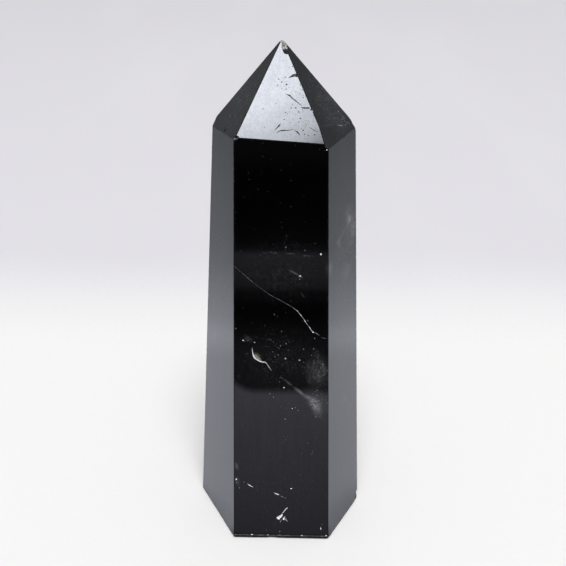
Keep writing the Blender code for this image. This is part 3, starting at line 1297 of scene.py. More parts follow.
@dataclass(frozen=True)
class Veils:
    """The clouds and wisps inside the stone, facet by facet."""

    all: tuple[Veil, ...] = (
        Veil(FRONT, -5.5, 48.8, 3.6, 2.1, -25.0, 0.036),
        Veil(FRONT, -5.8, 45.8, 2.2, 1.3, -40.0, 0.016),
        Veil(FRONT, -7.2, 40.6, 1.8, 1.4, -60.0, 0.016),
        Veil(FRONT, 6.9, 45.9, 3.0, 2.0, -60.0, 0.036),
        Veil(FRONT, 7.5, 43.3, 3.4, 2.2, -70.0, 0.042),
        Veil(FRONT, 7.3, 41.0, 3.2, 2.2, -80.0, 0.038),
        Veil(FRONT, 8.5, 42.2, 2.6, 1.6, -70.0, 0.036),
        Veil(FRONT, 5.75, 40.6, 3.6, 1.0, -89.0, 0.022, Texture.HAZE),
        Veil(FRONT, 0.65, 40.5, 0.9, 0.45, -30.0, 0.11, Texture.WISP),
        Veil(FRONT, 1.9, 39.5, 3.0, 0.65, -43.0, 0.060, Texture.MIST),
        Veil(FRONT, 3.9, 37.6, 3.4, 0.95, -42.0, 0.115, Texture.MIST),
        Veil(FRONT, 5.6, 36.2, 3.8, 1.25, -33.0, 0.080, Texture.MIST),
        Veil(FRONT, 5.6, 36.2, 3.6, 1.6, -32.0, 0.160, Texture.GRAIN),
        Veil(FRONT, 6.9, 34.9, 4.2, 3.2, -48.0, 0.040, Texture.MIST),
        Veil(FRONT, 6.7, 35.0, 4.4, 3.2, -48.0, 0.160, Texture.GRAIN),
        Veil(FRONT, 6.8, 34.6, 4.8, 2.8, -60.0, 0.115, Texture.WISP),
        Veil(FRONT, 7.4, 33.4, 4.8, 2.8, -76.0, 0.046, Texture.MIST),
        Veil(FRONT, 7.3, 33.3, 4.8, 2.8, -76.0, 0.165, Texture.GRAIN),
        Veil(FRONT, 8.5, 31.2, 3.0, 1.5, -75.0, 0.060, Texture.GRAIN),
        Veil(FRONT, 7.4, 35.4, 9.0, 4.8, -52.0, 0.022, Texture.MIST),
        Veil(FRONT, 7.3, 42.0, 10.0, 6.2, -82.0, 0.026, Texture.MIST),
        Veil(FRONT, 7.2, 41.6, 10.0, 6.2, -82.0, 0.105, Texture.GRAIN),
        Veil(FRONT, -8.1, 19.4, 2.6, 1.0, -80.0, 0.060, Texture.MIST),
        Veil(FRONT, -8.0, 15.4, 3.4, 1.2, -85.0, 0.034, Texture.MIST),
        Veil(FRONT, 0.5, 43.5, 19.0, 13.0, 0.0, 0.006, Texture.HAZE),
        Veil(FRONT, 0.5, 62.0, 18.0, 14.0, 0.0, 0.008),
        Veil(FRONT, 2.0, 64.0, 17.0, 24.0, 0.0, 0.014, Texture.GRAIN),
        Veil(FRONT, 0.0, 44.0, 19.0, 20.0, 0.0, 0.034, Texture.GRAIN),
        Veil(FRONT, 0.0, 15.0, 22.0, 34.0, 0.0, 0.020, Texture.GRAIN),
        Veil(FRONT_RIGHT, 0.5, 50.0, 14.0, 100.0, 0.0, 0.070, Texture.GRAIN),
        Veil(FRONT_LEFT, 0.0, 50.0, 14.0, 100.0, 0.0, 0.070, Texture.GRAIN),
        Veil(RIGHT_TIP, 2.5, -13.0, 9.0, 12.0, 0.0, 0.026, Texture.HAZE),
        Veil(RIGHT_TIP, 2.0, -11.5, 11.0, 18.0, 0.0, 0.090, Texture.GRAIN),
        Veil(LEFT_TIP, 0.0, -10.5, 13.0, 22.0, 0.0, 0.065, Texture.GRAIN),
        Veil(LEFT_TIP, 0.0, -12.0, 13.0, 16.0, 0.0, 0.012, Texture.HAZE),
        Veil(RIGHT_TIP, 3.8, -15.6, 3.4, 1.8, -65.0, 0.060, Texture.GRAIN),
        Veil(FRONT, -1.0, 66.0, 3.4, 0.6, 1.0, 0.060, Texture.WISP),
        Veil(FRONT, 2.2, 65.9, 2.6, 0.4, 1.0, 0.050, Texture.WISP),
        Veil(FRONT, 5.1, 65.5, 2.6, 0.5, 0.0, 0.065, Texture.WISP),
        Veil(FRONT, 2.8, 62.3, 3.2, 0.60, -31.0, 0.065, Texture.MIST),
        Veil(FRONT, 3.9, 61.6, 0.9, 0.8, 0.0, 0.30, Texture.WISP),
        Veil(FRONT, 4.35, 57.9, 1.7, 0.40, -58.0, 0.035, Texture.MIST),
        Veil(FRONT_RIGHT, 2.9, 69.1, 2.6, 3.4, 0.0, 0.080, Texture.HAZE),
        Veil(FRONT_RIGHT, 2.9, 69.0, 1.2, 1.4, 0.0, 0.080, Texture.MIST),
        Veil(FRONT_RIGHT, 2.6, 70.2, 5.0, 5.4, 0.0, 0.030, Texture.MIST),
        Veil(FRONT_RIGHT, 4.3, 67.2, 2.8, 7.0, 0.0, 0.075, Texture.HAZE),
        Veil(FRONT_RIGHT, 3.4, 67.4, 6.5, 9.0, 0.0, 0.024, Texture.MIST),
        Veil(FRONT_RIGHT, 0.8, 67.6, 5.6, 1.2, 32.0, 0.026, Texture.MIST),
        Veil(FRONT_RIGHT, -1.1, 66.4, 1.5, 1.6, 0.0, 0.050, Texture.MIST),
        Veil(FRONT_RIGHT, 4.6, 66.6, 1.1, 4.2, 0.0, 0.045, Texture.MIST),
        Veil(FRONT_RIGHT, 3.2, 63.9, 4.0, 3.0, 0.0, 0.040, Texture.HAZE),
        Veil(FRONT_RIGHT, -1.0, 66.5, 2.6, 3.0, 0.0, 0.050, Texture.HAZE),
        Veil(FRONT_RIGHT, -4.2, 62.9, 2.4, 4.4, 0.0, 0.050, Texture.HAZE),
        Veil(FRONT_RIGHT, 1.8, 59.6, 5.6, 5.0, 0.0, 0.030, Texture.HAZE),
        Veil(FRONT_RIGHT, 0.0, 64.0, 13.0, 30.0, 0.0, 0.010, Texture.HAZE),
        Veil(FRONT_RIGHT, 0.3, 31.5, 3.0, 4.0, 0.0, 0.030),
        Veil(FRONT_LEFT, -2.3, 45.4, 1.6, 5.6, 0.0, 0.040, Texture.HAZE),
        Veil(BACK, -1.5, 54.0, 14.0, 5.0, -35.0, 0.060),
        Veil(BACK, 3.5, 25.0, 7.0, 4.0, -45.0, 0.070),
        Veil(BACK, -4.5, 12.0, 6.0, 2.0, 20.0, 0.045, Texture.WISP),
        Veil(BACK_LEFT, 1.0, 36.0, 10.0, 4.0, -35.0, 0.060),
        Veil(BACK_LEFT, -2.0, 66.0, 4.0, 7.0, 10.0, 0.045),
        Veil(BACK_RIGHT, 0.5, 63.0, 9.0, 4.0, 40.0, 0.060),
        Veil(BACK_RIGHT, 2.0, 22.0, 3.0, 8.0, -15.0, 0.050),
        Veil(BACK_TIP, 0.0, -11.0, 5.0, 2.0, -35.0, 0.040, Texture.WISP),
    )
    ivory: tuple[Veil, ...] = (
        Veil(FRONT, -3.75, 44.88, 2.4, 1.1, -42.0, 0.50, Texture.MIST),
        Veil(FRONT, -3.55, 45.05, 2.8, 1.7, -42.0, 0.16, Texture.HAZE),
    )


@dataclass(frozen=True)
class PolishedMorion:
    """Black quartz with a hand polish: glassy, a little wavy, with veils and dust in it.

    Attributes:
        black: Colour of the stone between its veils.
        smoke: Colour of the veils.
        ivory: Colour of the ivory veils, where the stone is bruised beside its crack.
        ior: Index of refraction of quartz.
        roughness: Roughness where the polish is best and where it is worst.
        shine: Strength of the shine on dull and on clean spots, where 0.5 is that of clean quartz.
        wave: Height of the waves that the lap left.
        wave_size: Length of those waves.
        dust: Brightness of the dust specks.
        dust_spacing: Mean distance between the specks.
        streaks: How far the lap's streaks run along X, Y and Z.
        veils: Clouds and wisps.
    """

    black: tuple[float, float, float, float] = (0.00062, 0.00062, 0.00066, 1.0)
    smoke: tuple[float, float, float, float] = (0.86, 0.87, 0.90, 1.0)
    ivory: tuple[float, float, float, float] = (0.75, 0.72, 0.58, 1.0)
    ior: float = 1.544
    roughness: tuple[float, float] = (0.028, 0.06)
    shine: tuple[float, float] = (0.45, 0.55)
    wave: float = 0.012
    wave_size: float = 15.0
    dust: float = 0.045
    dust_spacing: float = 0.75
    streaks: tuple[float, float, float] = (1.0, 1.0, 26.0)
    veils: Veils = field(default_factory=Veils)

    def mix(self) -> bpy.types.Material:
        """Mix the finish.

        Returns:
            The material.
        """
        recipe = Recipe("polished_morion")
        place = recipe.place()
        noises = {}
        for texture in Texture:
            size, low, high = texture.value
            noises[texture] = recipe.spread(recipe.grain(place, size, 6.0, 0.62), low, high, 0.0, 1.0)
        tone = self.specks(recipe, place)
        for veil in self.veils.all:
            tone = recipe.math("ADD", tone, veil.shade(recipe, place, noises))
        bruise = 0.0
        for veil in self.veils.ivory:
            bruise = recipe.math("ADD", bruise, veil.shade(recipe, place, noises))
        colour = recipe.blend(bruise, recipe.blend(tone, self.black, self.smoke), self.ivory)
        smudge = recipe.grain(place, 9.0, 5.0, 0.6)
        streak = recipe.grain(recipe.stretched(place, self.streaks), 0.8, 3.0)
        worn = recipe.math("MULTIPLY", smudge, streak)
        waves = recipe.bump(recipe.grain(place, self.wave_size, 1.0), self.wave)
        haze = recipe.math("ADD", recipe.math("MULTIPLY", streak, 0.4), recipe.grain(place, 0.34, 3.0, 0.8))
        shader = recipe.add(
            "ShaderNodeBsdfPrincipled",
            {
                "Base Color": colour,
                "Roughness": recipe.spread(worn, 0.15, 0.40, *self.roughness),
                "IOR": self.ior,
                "Specular IOR Level": recipe.spread(haze, 0.50, 0.90, *self.shine),
                "Normal": recipe.bump(streak, 0.00035, waves),
            },
        )
        return recipe.surface(shader)

    def specks(self, recipe: Recipe, place: Feed) -> bpy.types.NodeSocket:
        """Fine pale dust in the stone.

        Args:
            recipe: Material that it is part of.
            place: Place on the stone.

        Returns:
            Its brightness.
        """
        feeds = {"Vector": place, "Scale": 1.0 / (self.dust_spacing * MM)}
        cells = recipe.add("ShaderNodeTexVoronoi", feeds)
        dot = recipe.spread(cells.outputs["Distance"], 0.06, 0.16, 1.0, 0.0)
        red = recipe.add("ShaderNodeSeparateColor", {0: cells.outputs["Color"]}).outputs[0]
        bright = recipe.spread(red, 0.5, 1.0, 0.0, self.dust)
        return recipe.math("MULTIPLY", dot, bright)


@dataclass(frozen=True)
class WornEdge:
    """Edges and base that are ground but not polished, so they look greyer. Where it lies on the top strip
    of the base, its lighter colour also holds a painted highlight.

    Attributes:
        name: Name of the material.
        colour: Colour where it is smooth.
        scuff: Colour where it is scuffed.
        shine: Strength of its shine, where 0.5 is that of clean quartz.
        ior: Index of refraction of quartz.
    """

    name: str = "worn_edge"
    colour: tuple[float, float, float, float] = (0.003, 0.003, 0.003, 1.0)
    scuff: tuple[float, float, float, float] = (0.05, 0.05, 0.05, 1.0)
    shine: float = 0.12
    ior: float = 1.544

    def mix(self) -> bpy.types.Material:
        """Mix the finish.

        Returns:
            The material.
        """
        recipe = Recipe(self.name)
        place = recipe.place()
        scuffs = recipe.grain(place, 0.5, 5.0, 0.7)
        scuffed = recipe.spread(scuffs, 0.5, 0.72, 0.0, 1.0)
        shader = recipe.add(
            "ShaderNodeBsdfPrincipled",
            {
                "Base Color": recipe.blend(scuffed, self.colour, self.scuff),
                "Roughness": recipe.spread(scuffs, 0.3, 0.7, 0.22, 0.5),
                "IOR": self.ior,
                "Specular IOR Level": self.shine,
                "Normal": recipe.bump(recipe.grain(place, 0.25, 3.0), 0.01),
            },
        )
        return recipe.surface(shader)


@dataclass(frozen=True)
class BrokenQuartz:
    """The glassy face of a fresh chip or scratch: black, with fine ripples.

    Attributes:
        name: Name of the material.
        colour: Colour of the broken face.
        roughness: How dull it is.
        shine: Strength of its shine, where 0.5 is that of clean quartz.
        ior: Index of refraction of quartz.
    """

    name: str
    colour: tuple[float, float, float, float]
    roughness: float
    shine: float = 0.5
    ior: float = 1.544

    def mix(self) -> bpy.types.Material:
        """Mix the finish.

        Returns:
            The material.
        """
        recipe = Recipe(self.name)
        place = recipe.place()
        ripples = recipe.grain(recipe.stretched(place, (1.0, 1.0, 0.4)), 0.45, 3.0, 0.5)
        smoke = recipe.spread(recipe.grain(place, 0.6, 4.0), 0.5, 0.75, 0.0, 0.06)
        shader = recipe.add(
            "ShaderNodeBsdfPrincipled",
            {
                "Base Color": recipe.blend(smoke, self.colour, (0.8, 0.8, 0.84, 1.0)),
                "Roughness": self.roughness,
                "IOR": self.ior,
                "Specular IOR Level": self.shine,
                "Normal": recipe.bump(ripples, 0.02),
            },
        )
        return recipe.surface(shader)


@dataclass(frozen=True)
class PaleQuartz:
    """White or grey quartz powder in a crack, a pit or a healed line.

    Attributes:
        name: Name of the material.
        dark: Colour of its hollows.
        light: Colour of its grains.
        roughness: How dull it is.
    """

    name: str
    dark: tuple[float, float, float, float]
    light: tuple[float, float, float, float]
    roughness: float = 0.6

    def mix(self) -> bpy.types.Material:
        """Mix the finish.

        Returns:
            The material.
        """
        recipe = Recipe(self.name)
        place = recipe.place()
        grains = recipe.grain(place, 0.22, 4.0, 0.65)
        bright = recipe.spread(grains, 0.32, 0.62, 0.0, 1.0)
        shader = recipe.add(
            "ShaderNodeBsdfPrincipled",
            {
                "Base Color": recipe.blend(bright, self.dark, self.light),
                "Roughness": self.roughness,
                "Normal": recipe.bump(grains, 0.03),
            },
        )
        return recipe.surface(shader)


@dataclass
class Shoulder:
    """A narrow second facet under the right tip facet, ground a little steeper.

    Attributes:
        start: Place across and up the tip facet where its upper edge begins.
        end: Place where that edge ends.
        steeper: Degrees that it is steeper than the tip facet.
    """

    start: tuple[float, float] = (-2.30, -15.00)
    end: tuple[float, float] = (3.30, -16.64)
    steeper: float = 4.0

    def plane(self) -> tuple[Vector, Vector]:
        """Work out the grinding plane.

        Returns:
            A point on the plane, and the direction that it faces.
        """
        first = RIGHT_TIP.at(*self.start)
        edge = (RIGHT_TIP.at(*self.end) - first).normalized()
        return first, Matrix.Rotation(math.radians(self.steeper), 3, edge) @ RIGHT_TIP.normal


@dataclass
class MorionPoint:
    """The stone: ground, worn and marked, as one closed mesh.

    Attributes:
        block: Rough block that the stone is cut from.
        edge_round: Width worn off the edges between facets.
        base_round: Width of the chamfer round the base.
        base_full: How far that chamfer fills the corner.
        rim_share: Share of the chamfer's width over which its topmost strip lies; that strip's lighter
            finish holds a painted highlight.
        steps: Faces across a worn edge.
        base_steps: Faces across the chamfer round the base.
        sharp: Smallest angle, in degrees, that counts as an edge.
        shoulder_slopes: How far the worn faces of the shoulders look up, where 1.0 is straight up.
        shoulder_height: Height over which the shoulders lie.
        on_plane: A corner this near to a grinding plane lies on it.
        field_size: Size of the small flat fields that a facet is made of.
        field_shift: Share of a field by which the fields stand off the axis.
        chips: Chips.
        lines: Cracks and scratches.
        pits: Pits.
        shoulder: Second facet under the right tip facet.
    """

    block: tuple[float, float, float] = (44.0, 40.0, 106.0)
    edge_round: float = 0.19
    base_round: float = 1.12
    base_full: float = 0.72
    rim_share: float = 0.95
    steps: int = 3
    base_steps: int = 6
    sharp: float = 30.0
    shoulder_slopes: tuple[float, float] = (0.10, 0.53)
    shoulder_height: float = 75.0
    on_plane: float = 0.002
    field_size: float = 3.1
    field_shift: float = 0.37
    chips: Chips = field(default_factory=Chips)
    lines: Lines = field(default_factory=Lines)
    pits: Pits = field(default_factory=Pits)
    shoulder: Shoulder = field(default_factory=Shoulder)

    def grind(self, mesh: bmesh.types.BMesh, point: Vector, normal: Vector) -> None:
        """Cut away what lies beyond a plane and close the cut with one flat facet.

        Args:
            mesh: Stone being ground.
            point: Point on the plane.
            normal: Direction that the new facet faces.
        """
        whole = mesh.verts[:] + mesh.edges[:] + mesh.faces[:]
        cut = bmesh.ops.bisect_plane(
            mesh, geom=whole, dist=self.on_plane * MM, plane_co=point, plane_no=normal, clear_outer=True
        )
        rim = [item for item in cut["geom_cut"] if isinstance(item, bmesh.types.BMEdge)]
        bmesh.ops.edgeloop_fill(mesh, edges=rim)

    def wear(
        self,
        mesh: bmesh.types.BMesh,
        edges: list[bmesh.types.BMEdge],
        width: float,
        steps: int,
        full: float = 0.5,
    ) -> None:
        """Round some edges.

        Args:
            mesh: Stone being worn.
            edges: Edges that are rounded.
            width: Width of the rounding.
            steps: Faces across the rounding.
            full: How far the rounding fills the corner, where 0.5 is a round one and 1.0 a sharp one.
        """
        bmesh.ops.bevel(
            mesh,
            geom=edges,
            offset=width * MM,
            offset_type="OFFSET",
            segments=steps,
            profile=full,
            affect="EDGES",
            clamp_overlap=True,
            material=Finish.WORN_EDGE.value,
        )

    def on_shoulder(self, face: bmesh.types.BMFace) -> bool:
        """Whether a worn face lies between a side and its tip facet, where the lap has smoothed it."""
        low, high = self.shoulder_slopes
        face.normal_update()
        return low < face.normal.z < high and face.calc_center_median().z > self.shoulder_height * MM

    def score(self, mesh: bmesh.types.BMesh) -> None:
        """Part the flat facets into small flat fields, so that each mark cuts only a few of them.

        Args:
            mesh: Stone being scored.
        """
        near = self.on_plane * MM
        for axis, size in zip(Matrix.Identity(3), self.block):
            for step in range(-round(size / self.field_size), round(size / self.field_size) + 1):
                whole = mesh.verts[:] + mesh.edges[:] + mesh.faces[:]
                place = axis * (step + self.field_shift) * self.field_size * MM
                bmesh.ops.bisect_plane(mesh, geom=whole, dist=near, plane_co=place, plane_no=axis)

    def ground_stone(self) -> tuple[bmesh.types.BMesh, list[tuple[Vector, Vector]]]:
        """Grind the block into the point and wear its edges.

        Returns:
            The mesh, and both ends of each edge before it was worn.
        """
        mesh = bmesh.new()
        bmesh.ops.create_cube(mesh, size=1.0)
        bmesh.ops.scale(mesh, verts=mesh.verts, vec=Vector(self.block) * MM)
        bmesh.ops.translate(mesh, verts=mesh.verts, vec=UP * self.block[2] / 2 * MM)
        for side in Side:
            facet = Facet(side, Zone.PRISM)
            self.grind(mesh, facet.start, facet.normal)
        for side in Side:
            self.grind(mesh, TIP, Facet(side, Zone.TIP).normal)
        self.grind(mesh, *self.shoulder.plane())
        low = self.on_plane * MM
        foot = [edge for edge in mesh.edges if all(corner.co.z < low for corner in edge.verts)]
        self.wear(mesh, foot, self.base_round, self.base_steps, self.base_full)
        # The top strip of the base chamfer gets a lighter finish: real scuffing, and a painted highlight
        # where the edge would catch light.
        for face in mesh.faces:
            rim = max(corner.co.z for corner in face.verts) > self.base_round * self.rim_share * MM
            if rim and face.material_index == Finish.WORN_EDGE.value:
                face.material_index = Finish.SCUFFED.value
        sharp = [
            edge
            for edge in mesh.edges
            if edge.calc_face_angle() > math.radians(self.sharp)
            and max(corner.co.z for corner in edge.verts) > self.base_round * 2 * MM
        ]
        ends = [(edge.verts[0].co.copy(), edge.verts[1].co.copy()) for edge in sharp]
        self.wear(mesh, sharp, self.edge_round, self.steps)
        for face in mesh.faces:
            if face.material_index == Finish.WORN_EDGE.value and self.on_shoulder(face):
                face.material_index = Finish.POLISHED.value
        self.score(mesh)
        bmesh.ops.recalc_face_normals(mesh, faces=mesh.faces)
        return mesh, ends

    def take_out(self, stone: bpy.types.Object, name: str, cuts: list[Cut], crossing: bool = False) -> None:
        """Cut a set of marks out of the stone.

        Args:
            stone: Stone that is cut.
            name: Name for the set.
            cuts: Marks in the set.
            crossing: Whether some of them cross each other.
        """
        mesh = bmesh.new()
        for cut in cuts:
            cut.carve(mesh)
        bmesh.ops.recalc_face_normals(mesh, faces=mesh.faces)
        cutter = object_of(name, mesh, list(stone.data.materials))
        scoop = stone.modifiers.new(name, "BOOLEAN")
        scoop.operation = "DIFFERENCE"
        scoop.solver = "EXACT"
        scoop.material_mode = "INDEX"
        scoop.use_self = crossing
        scoop.object = cutter
        LOG.info("%s: %d marks", name, len(cuts))

    def build(self, finishes: list[bpy.types.Material]) -> bpy.types.Object:
        """Build the stone.

        Args:
            finishes: Materials, in the order of Finish.

        Returns:
            The finished piece.
        """
        mesh, edges = self.ground_stone()
        rough = object_of("rough_stone", mesh, finishes)
        self.take_out(rough, "chips", list(self.chips.all))
        self.take_out(rough, "frosted_chips", list(self.chips.frosted), crossing=True)
        self.take_out(rough, "edge_nicks", [EdgeWear(edges)])
        lines = [self.lines.open_crack, *self.lines.hairline, *self.lines.struck]
        lines += [*self.lines.tip_strokes, *self.lines.side_scratches]
        self.take_out(rough, "lines", lines, crossing=True)
        self.take_out(rough, "pits", list(self.pits.cuts()))
        graph = bpy.context.evaluated_depsgraph_get()
        data = bpy.data.meshes.new_from_object(rough.evaluated_get(graph))
        data.name = "morion_point"
        stone = bpy.data.objects.new("morion_point", data)
        bpy.context.scene.collection.objects.link(stone)
        for spent in [rough, *(scoop.object for scoop in rough.modifiers)]:
            bpy.data.objects.remove(spent, do_unlink=True)
        self.tidy(data)
        return stone

    def tidy(self, data: bpy.types.Mesh) -> None:
        """Clean the mesh that the cuts left, and say how it came out.

        Args:
            data: Mesh of the stone.
        """
        mesh = bmesh.new()
        mesh.from_mesh(data)
        bmesh.ops.triangulate(mesh, faces=mesh.faces)
        open_edges = sum(1 for edge in mesh.edges if len(edge.link_faces) != 2)
        mesh.to_mesh(data)
        mesh.free()
        triangles = sum(len(polygon.vertices) - 2 for polygon in data.polygons)
        LOG.info("stone: %d triangles, %d edges not closed", triangles, open_edges)

    def dress(self) -> list[bpy.types.Material]:
        """Mix the finishes of the stone.

        Returns:
            Materials, in the order of Finish.
        """
        finishes = {
            Finish.POLISHED: PolishedMorion(),
            Finish.WORN_EDGE: WornEdge(),
            Finish.BROKEN: BrokenQuartz("broken_quartz", (0.004, 0.004, 0.0045, 1.0), 0.16),
            Finish.CRUSHED: PaleQuartz("crushed_quartz", (0.67, 0.69, 0.71, 1.0), (0.95, 0.97, 0.98, 1.0)),
            Finish.HEALED: PaleQuartz(
                "healed_quartz", (0.045, 0.048, 0.053, 1.0), (0.37, 0.39, 0.42, 1.0), 0.5
            ),
            Finish.SCRATCHED: BrokenQuartz("scratched_quartz", (0.012, 0.012, 0.014, 1.0), 0.35, 0.22),
            # Scuffed foot: real scuffing, with a lighter colour that paints the highlight along the top
            # strip of the base.
            Finish.SCUFFED: WornEdge(
                "scuffed_foot", (0.045, 0.045, 0.042, 1.0), (0.26, 0.26, 0.24, 1.0), 0.35
            ),
            Finish.FROSTED: PaleQuartz(
                "frosted_quartz", (0.06, 0.06, 0.06, 1.0), (0.48, 0.48, 0.46, 1.0), 0.7
            ),
        }
        return [finishes[finish].mix() for finish in Finish]


@dataclass(frozen=True)
class Cloth:
    """The pale table cloth: near white by the stone, and greyer and bluer further back, which is painted
    shade.

    Attributes:
        near: Colour by the stone.
        far: Colour further back, with painted shade in it.
        turns: Where the near colour ends and the far one begins, along +Y.
        folds: Wave length of the soft folds, whose shade is painted on the flat cloth.
        fold_shade: How far the painted shade of the folds shifts the colour, further back.
        weave: Size of the threads.
        weave_shade: How far the threads shift the colour.
    """

    near: tuple[float, float, float, float] = (0.902, 0.894, 0.893, 1.0)
    far: tuple[float, float, float, float] = (0.741, 0.729, 0.772, 1.0)
    turns: tuple[float, float] = (50.0, 115.0)
    folds: tuple[float, float, float] = (70.0, 220.0, 70.0)
    fold_shade: float = 0.10
    weave: tuple[float, float, float] = (1.6, 0.7, 1.6)
    weave_shade: float = 0.05

    def mix(self) -> bpy.types.Material:
        """Mix the finish.

        Returns:
            The material.
        """
        recipe = Recipe("pale_cloth")
        place = recipe.place()
        back = recipe.math("DIVIDE", recipe.add("ShaderNodeSeparateXYZ", {0: place}).outputs["Y"], MM)
        # Painted shade: the flat cloth turns greyer and bluer further back, and the shade of its soft folds
        # is painted there too.
        shade = recipe.spread(back, *self.turns, 0.0, 1.0)
        folds = recipe.grain(recipe.stretched(place, self.folds), 1.0, 2.0)
        weave = recipe.grain(recipe.stretched(place, self.weave), 1.0, 2.0)
        folds = recipe.spread(folds, 0.3, 0.7, -self.fold_shade, self.fold_shade)
        wavy = recipe.math("MULTIPLY", shade, folds)
        woven = recipe.math("ADD", wavy, recipe.spread(weave, 0.3, 0.7, -self.weave_shade, self.weave_shade))
        mixed = recipe.blend(recipe.math("ADD", shade, woven), self.near, self.far)
        shader = recipe.add("ShaderNodeBsdfDiffuse", {"Color": mixed})
        return recipe.surface(shader)


@dataclass(frozen=True)
class Band:
    """One thing that the polish mirrors, and how its brightness runs from near to far.

    Attributes:
        start: Distance at which it begins.
        end: Distance at which it ends.
        near: Brightness where it begins.
        far: Brightness where it ends.
    """

    start: float
    end: float
    near: float
    far: float


@dataclass(frozen=True)
class TableGlow:
    """A glowing sheet, seen only in the polish, that paints the table's reflection: how bright the table and
    the room round it look when mirrored, with their light and shade painted in.

    Attributes:
        sides: Painted reflection of what lies to the sides and the back, nearest first.
        front: Painted reflection of what lies in front, where the cloth ends and the room is dark.
        reach: Distance at which both end.
        middle: Place along X that the sides are measured from.
        tilt: Share of the brightness at the left and at the right of the middle.
        tilt_reach: How far from the middle that share is reached.
        side_tint: Colour to the sides and the back.
        front_tint: Colour in front.
        mouth: Half width of the dark front at the stone, and how it widens with distance.
        begins: Where the front begins, ahead of the axis.
        soften: Width over which the front turns into the sides.
        curl: How much the cloth's front edge curls towards the stone on the left.
        curl_start: Place along X where it starts to curl.
        curl_ends: Where the curl has died out, ahead of the axis.
    """

    sides: tuple[Band, ...] = (
        Band(15.5, 20.0, 0.65, 0.90),  # Shade at the foot of the stone
        Band(24.0, 68.0, 0.96, 1.18),  # Cloth
        Band(77.0, 81.0, 1.42, 1.42),  # Bright fold
        Band(90.0, 125.0, 1.18, 0.79),  # Cloth beyond the fold
        Band(145.0, 300.0, 0.70, 0.50),  # Far cloth
    )
    front: tuple[Band, ...] = (
        Band(0.0, 14.3, 0.03, 0.03),  # Painted shadow under the foot
        Band(15.2, 66.7, 0.31, 0.70),  # Cloth, up to its front edge
        Band(70.0, 90.0, 0.095, 0.09),  # Bare table
        Band(112.0, 119.0, 0.01, 0.006),  # Dark room
        Band(124.0, 129.0, 0.035, 0.035),  # Dim sill
        Band(133.5, 160.5, 0.14, 0.25),  # Pale wall
        Band(164.5, 174.0, 0.06, 0.02),  # Its shaded end
        Band(195.0, 262.0, 0.004, 0.004),  # Dark room again
        Band(298.0, 300.0, 0.035, 0.035),  # Grey far end
    )
    reach: float = 300.0
    middle: float = 1.5
    tilt: tuple[float, float] = (0.975, 1.03)
    tilt_reach: float = 40.0
    side_tint: tuple[float, float, float, float] = (0.97, 1.0, 1.115, 1.0)
    front_tint: tuple[float, float, float, float] = (1.0, 1.0, 1.19, 1.0)
    mouth: tuple[float, float] = (5.0, 0.40)
    begins: tuple[float, float] = (11.0, 15.0)
    soften: float = 40.0
    curl: float = 0.11
    curl_start: float = -7.5
    curl_ends: tuple[float, float] = (80.0, 110.0)

    @staticmethod
    def stops(bands: tuple[Band, ...]) -> tuple[tuple[float, float], ...]:
        """Distance and brightness at both ends of each band."""
        return tuple(stop for band in bands for stop in ((band.start, band.near), (band.end, band.far)))

    def mix(self) -> bpy.types.Material:
        """Mix the glow.

        Returns:
            The material.
        """
        recipe = Recipe("table_glow")
        place = recipe.stretched(recipe.place(), (MM, MM, MM))
        parts = recipe.add("ShaderNodeSeparateXYZ", {0: place}).outputs
        middle = (self.middle, 0.0, 0.0)
        centred = recipe.add("ShaderNodeVectorMath", {0: place, 1: middle}, operation="SUBTRACT").outputs[0]
        away = recipe.add("ShaderNodeVectorMath", {0: centred}, operation="LENGTH").outputs["Value"]
        ahead = recipe.math("MULTIPLY", parts["Y"], -1.0)
        left = recipe.math("MINIMUM", recipe.math("SUBTRACT", parts["X"], self.curl_start), 0.0)
        fade = recipe.spread(ahead, *self.curl_ends, self.curl, 0.0)
        curl = recipe.math("MULTIPLY", recipe.math("POWER", left, 2.0), fade)
        width = recipe.math("ADD", recipe.math("MULTIPLY", ahead, self.mouth[1]), self.mouth[0])
        beside = recipe.math("SUBTRACT", recipe.math("ABSOLUTE", parts["X"]), width)
        share = recipe.spread(beside, 0.0, self.soften, 1.0, 0.0)
        share = recipe.math("MULTIPLY", share, recipe.spread(ahead, *self.begins, 0.0, 1.0))
        sides = recipe.ramp(away, self.stops(self.sides), self.reach)
        sides = recipe.math("MULTIPLY", sides, recipe.math("SUBTRACT", 1.0, share))
        tilt = recipe.spread(parts["X"], -self.tilt_reach, self.tilt_reach, *self.tilt)
        sides = recipe.math("MULTIPLY", sides, tilt)
        front = recipe.ramp(recipe.math("SUBTRACT", ahead, curl), self.stops(self.front), self.reach)
        front = recipe.math("MULTIPLY", front, share)
        tint = recipe.blend(share, self.side_tint, self.front_tint)
        feeds = {"Color": tint, "Strength": recipe.math("ADD", sides, front)}
        material = recipe.surface(recipe.add("ShaderNodeEmission", feeds))
        material.cycles.emission_sampling = "NONE"
        return material


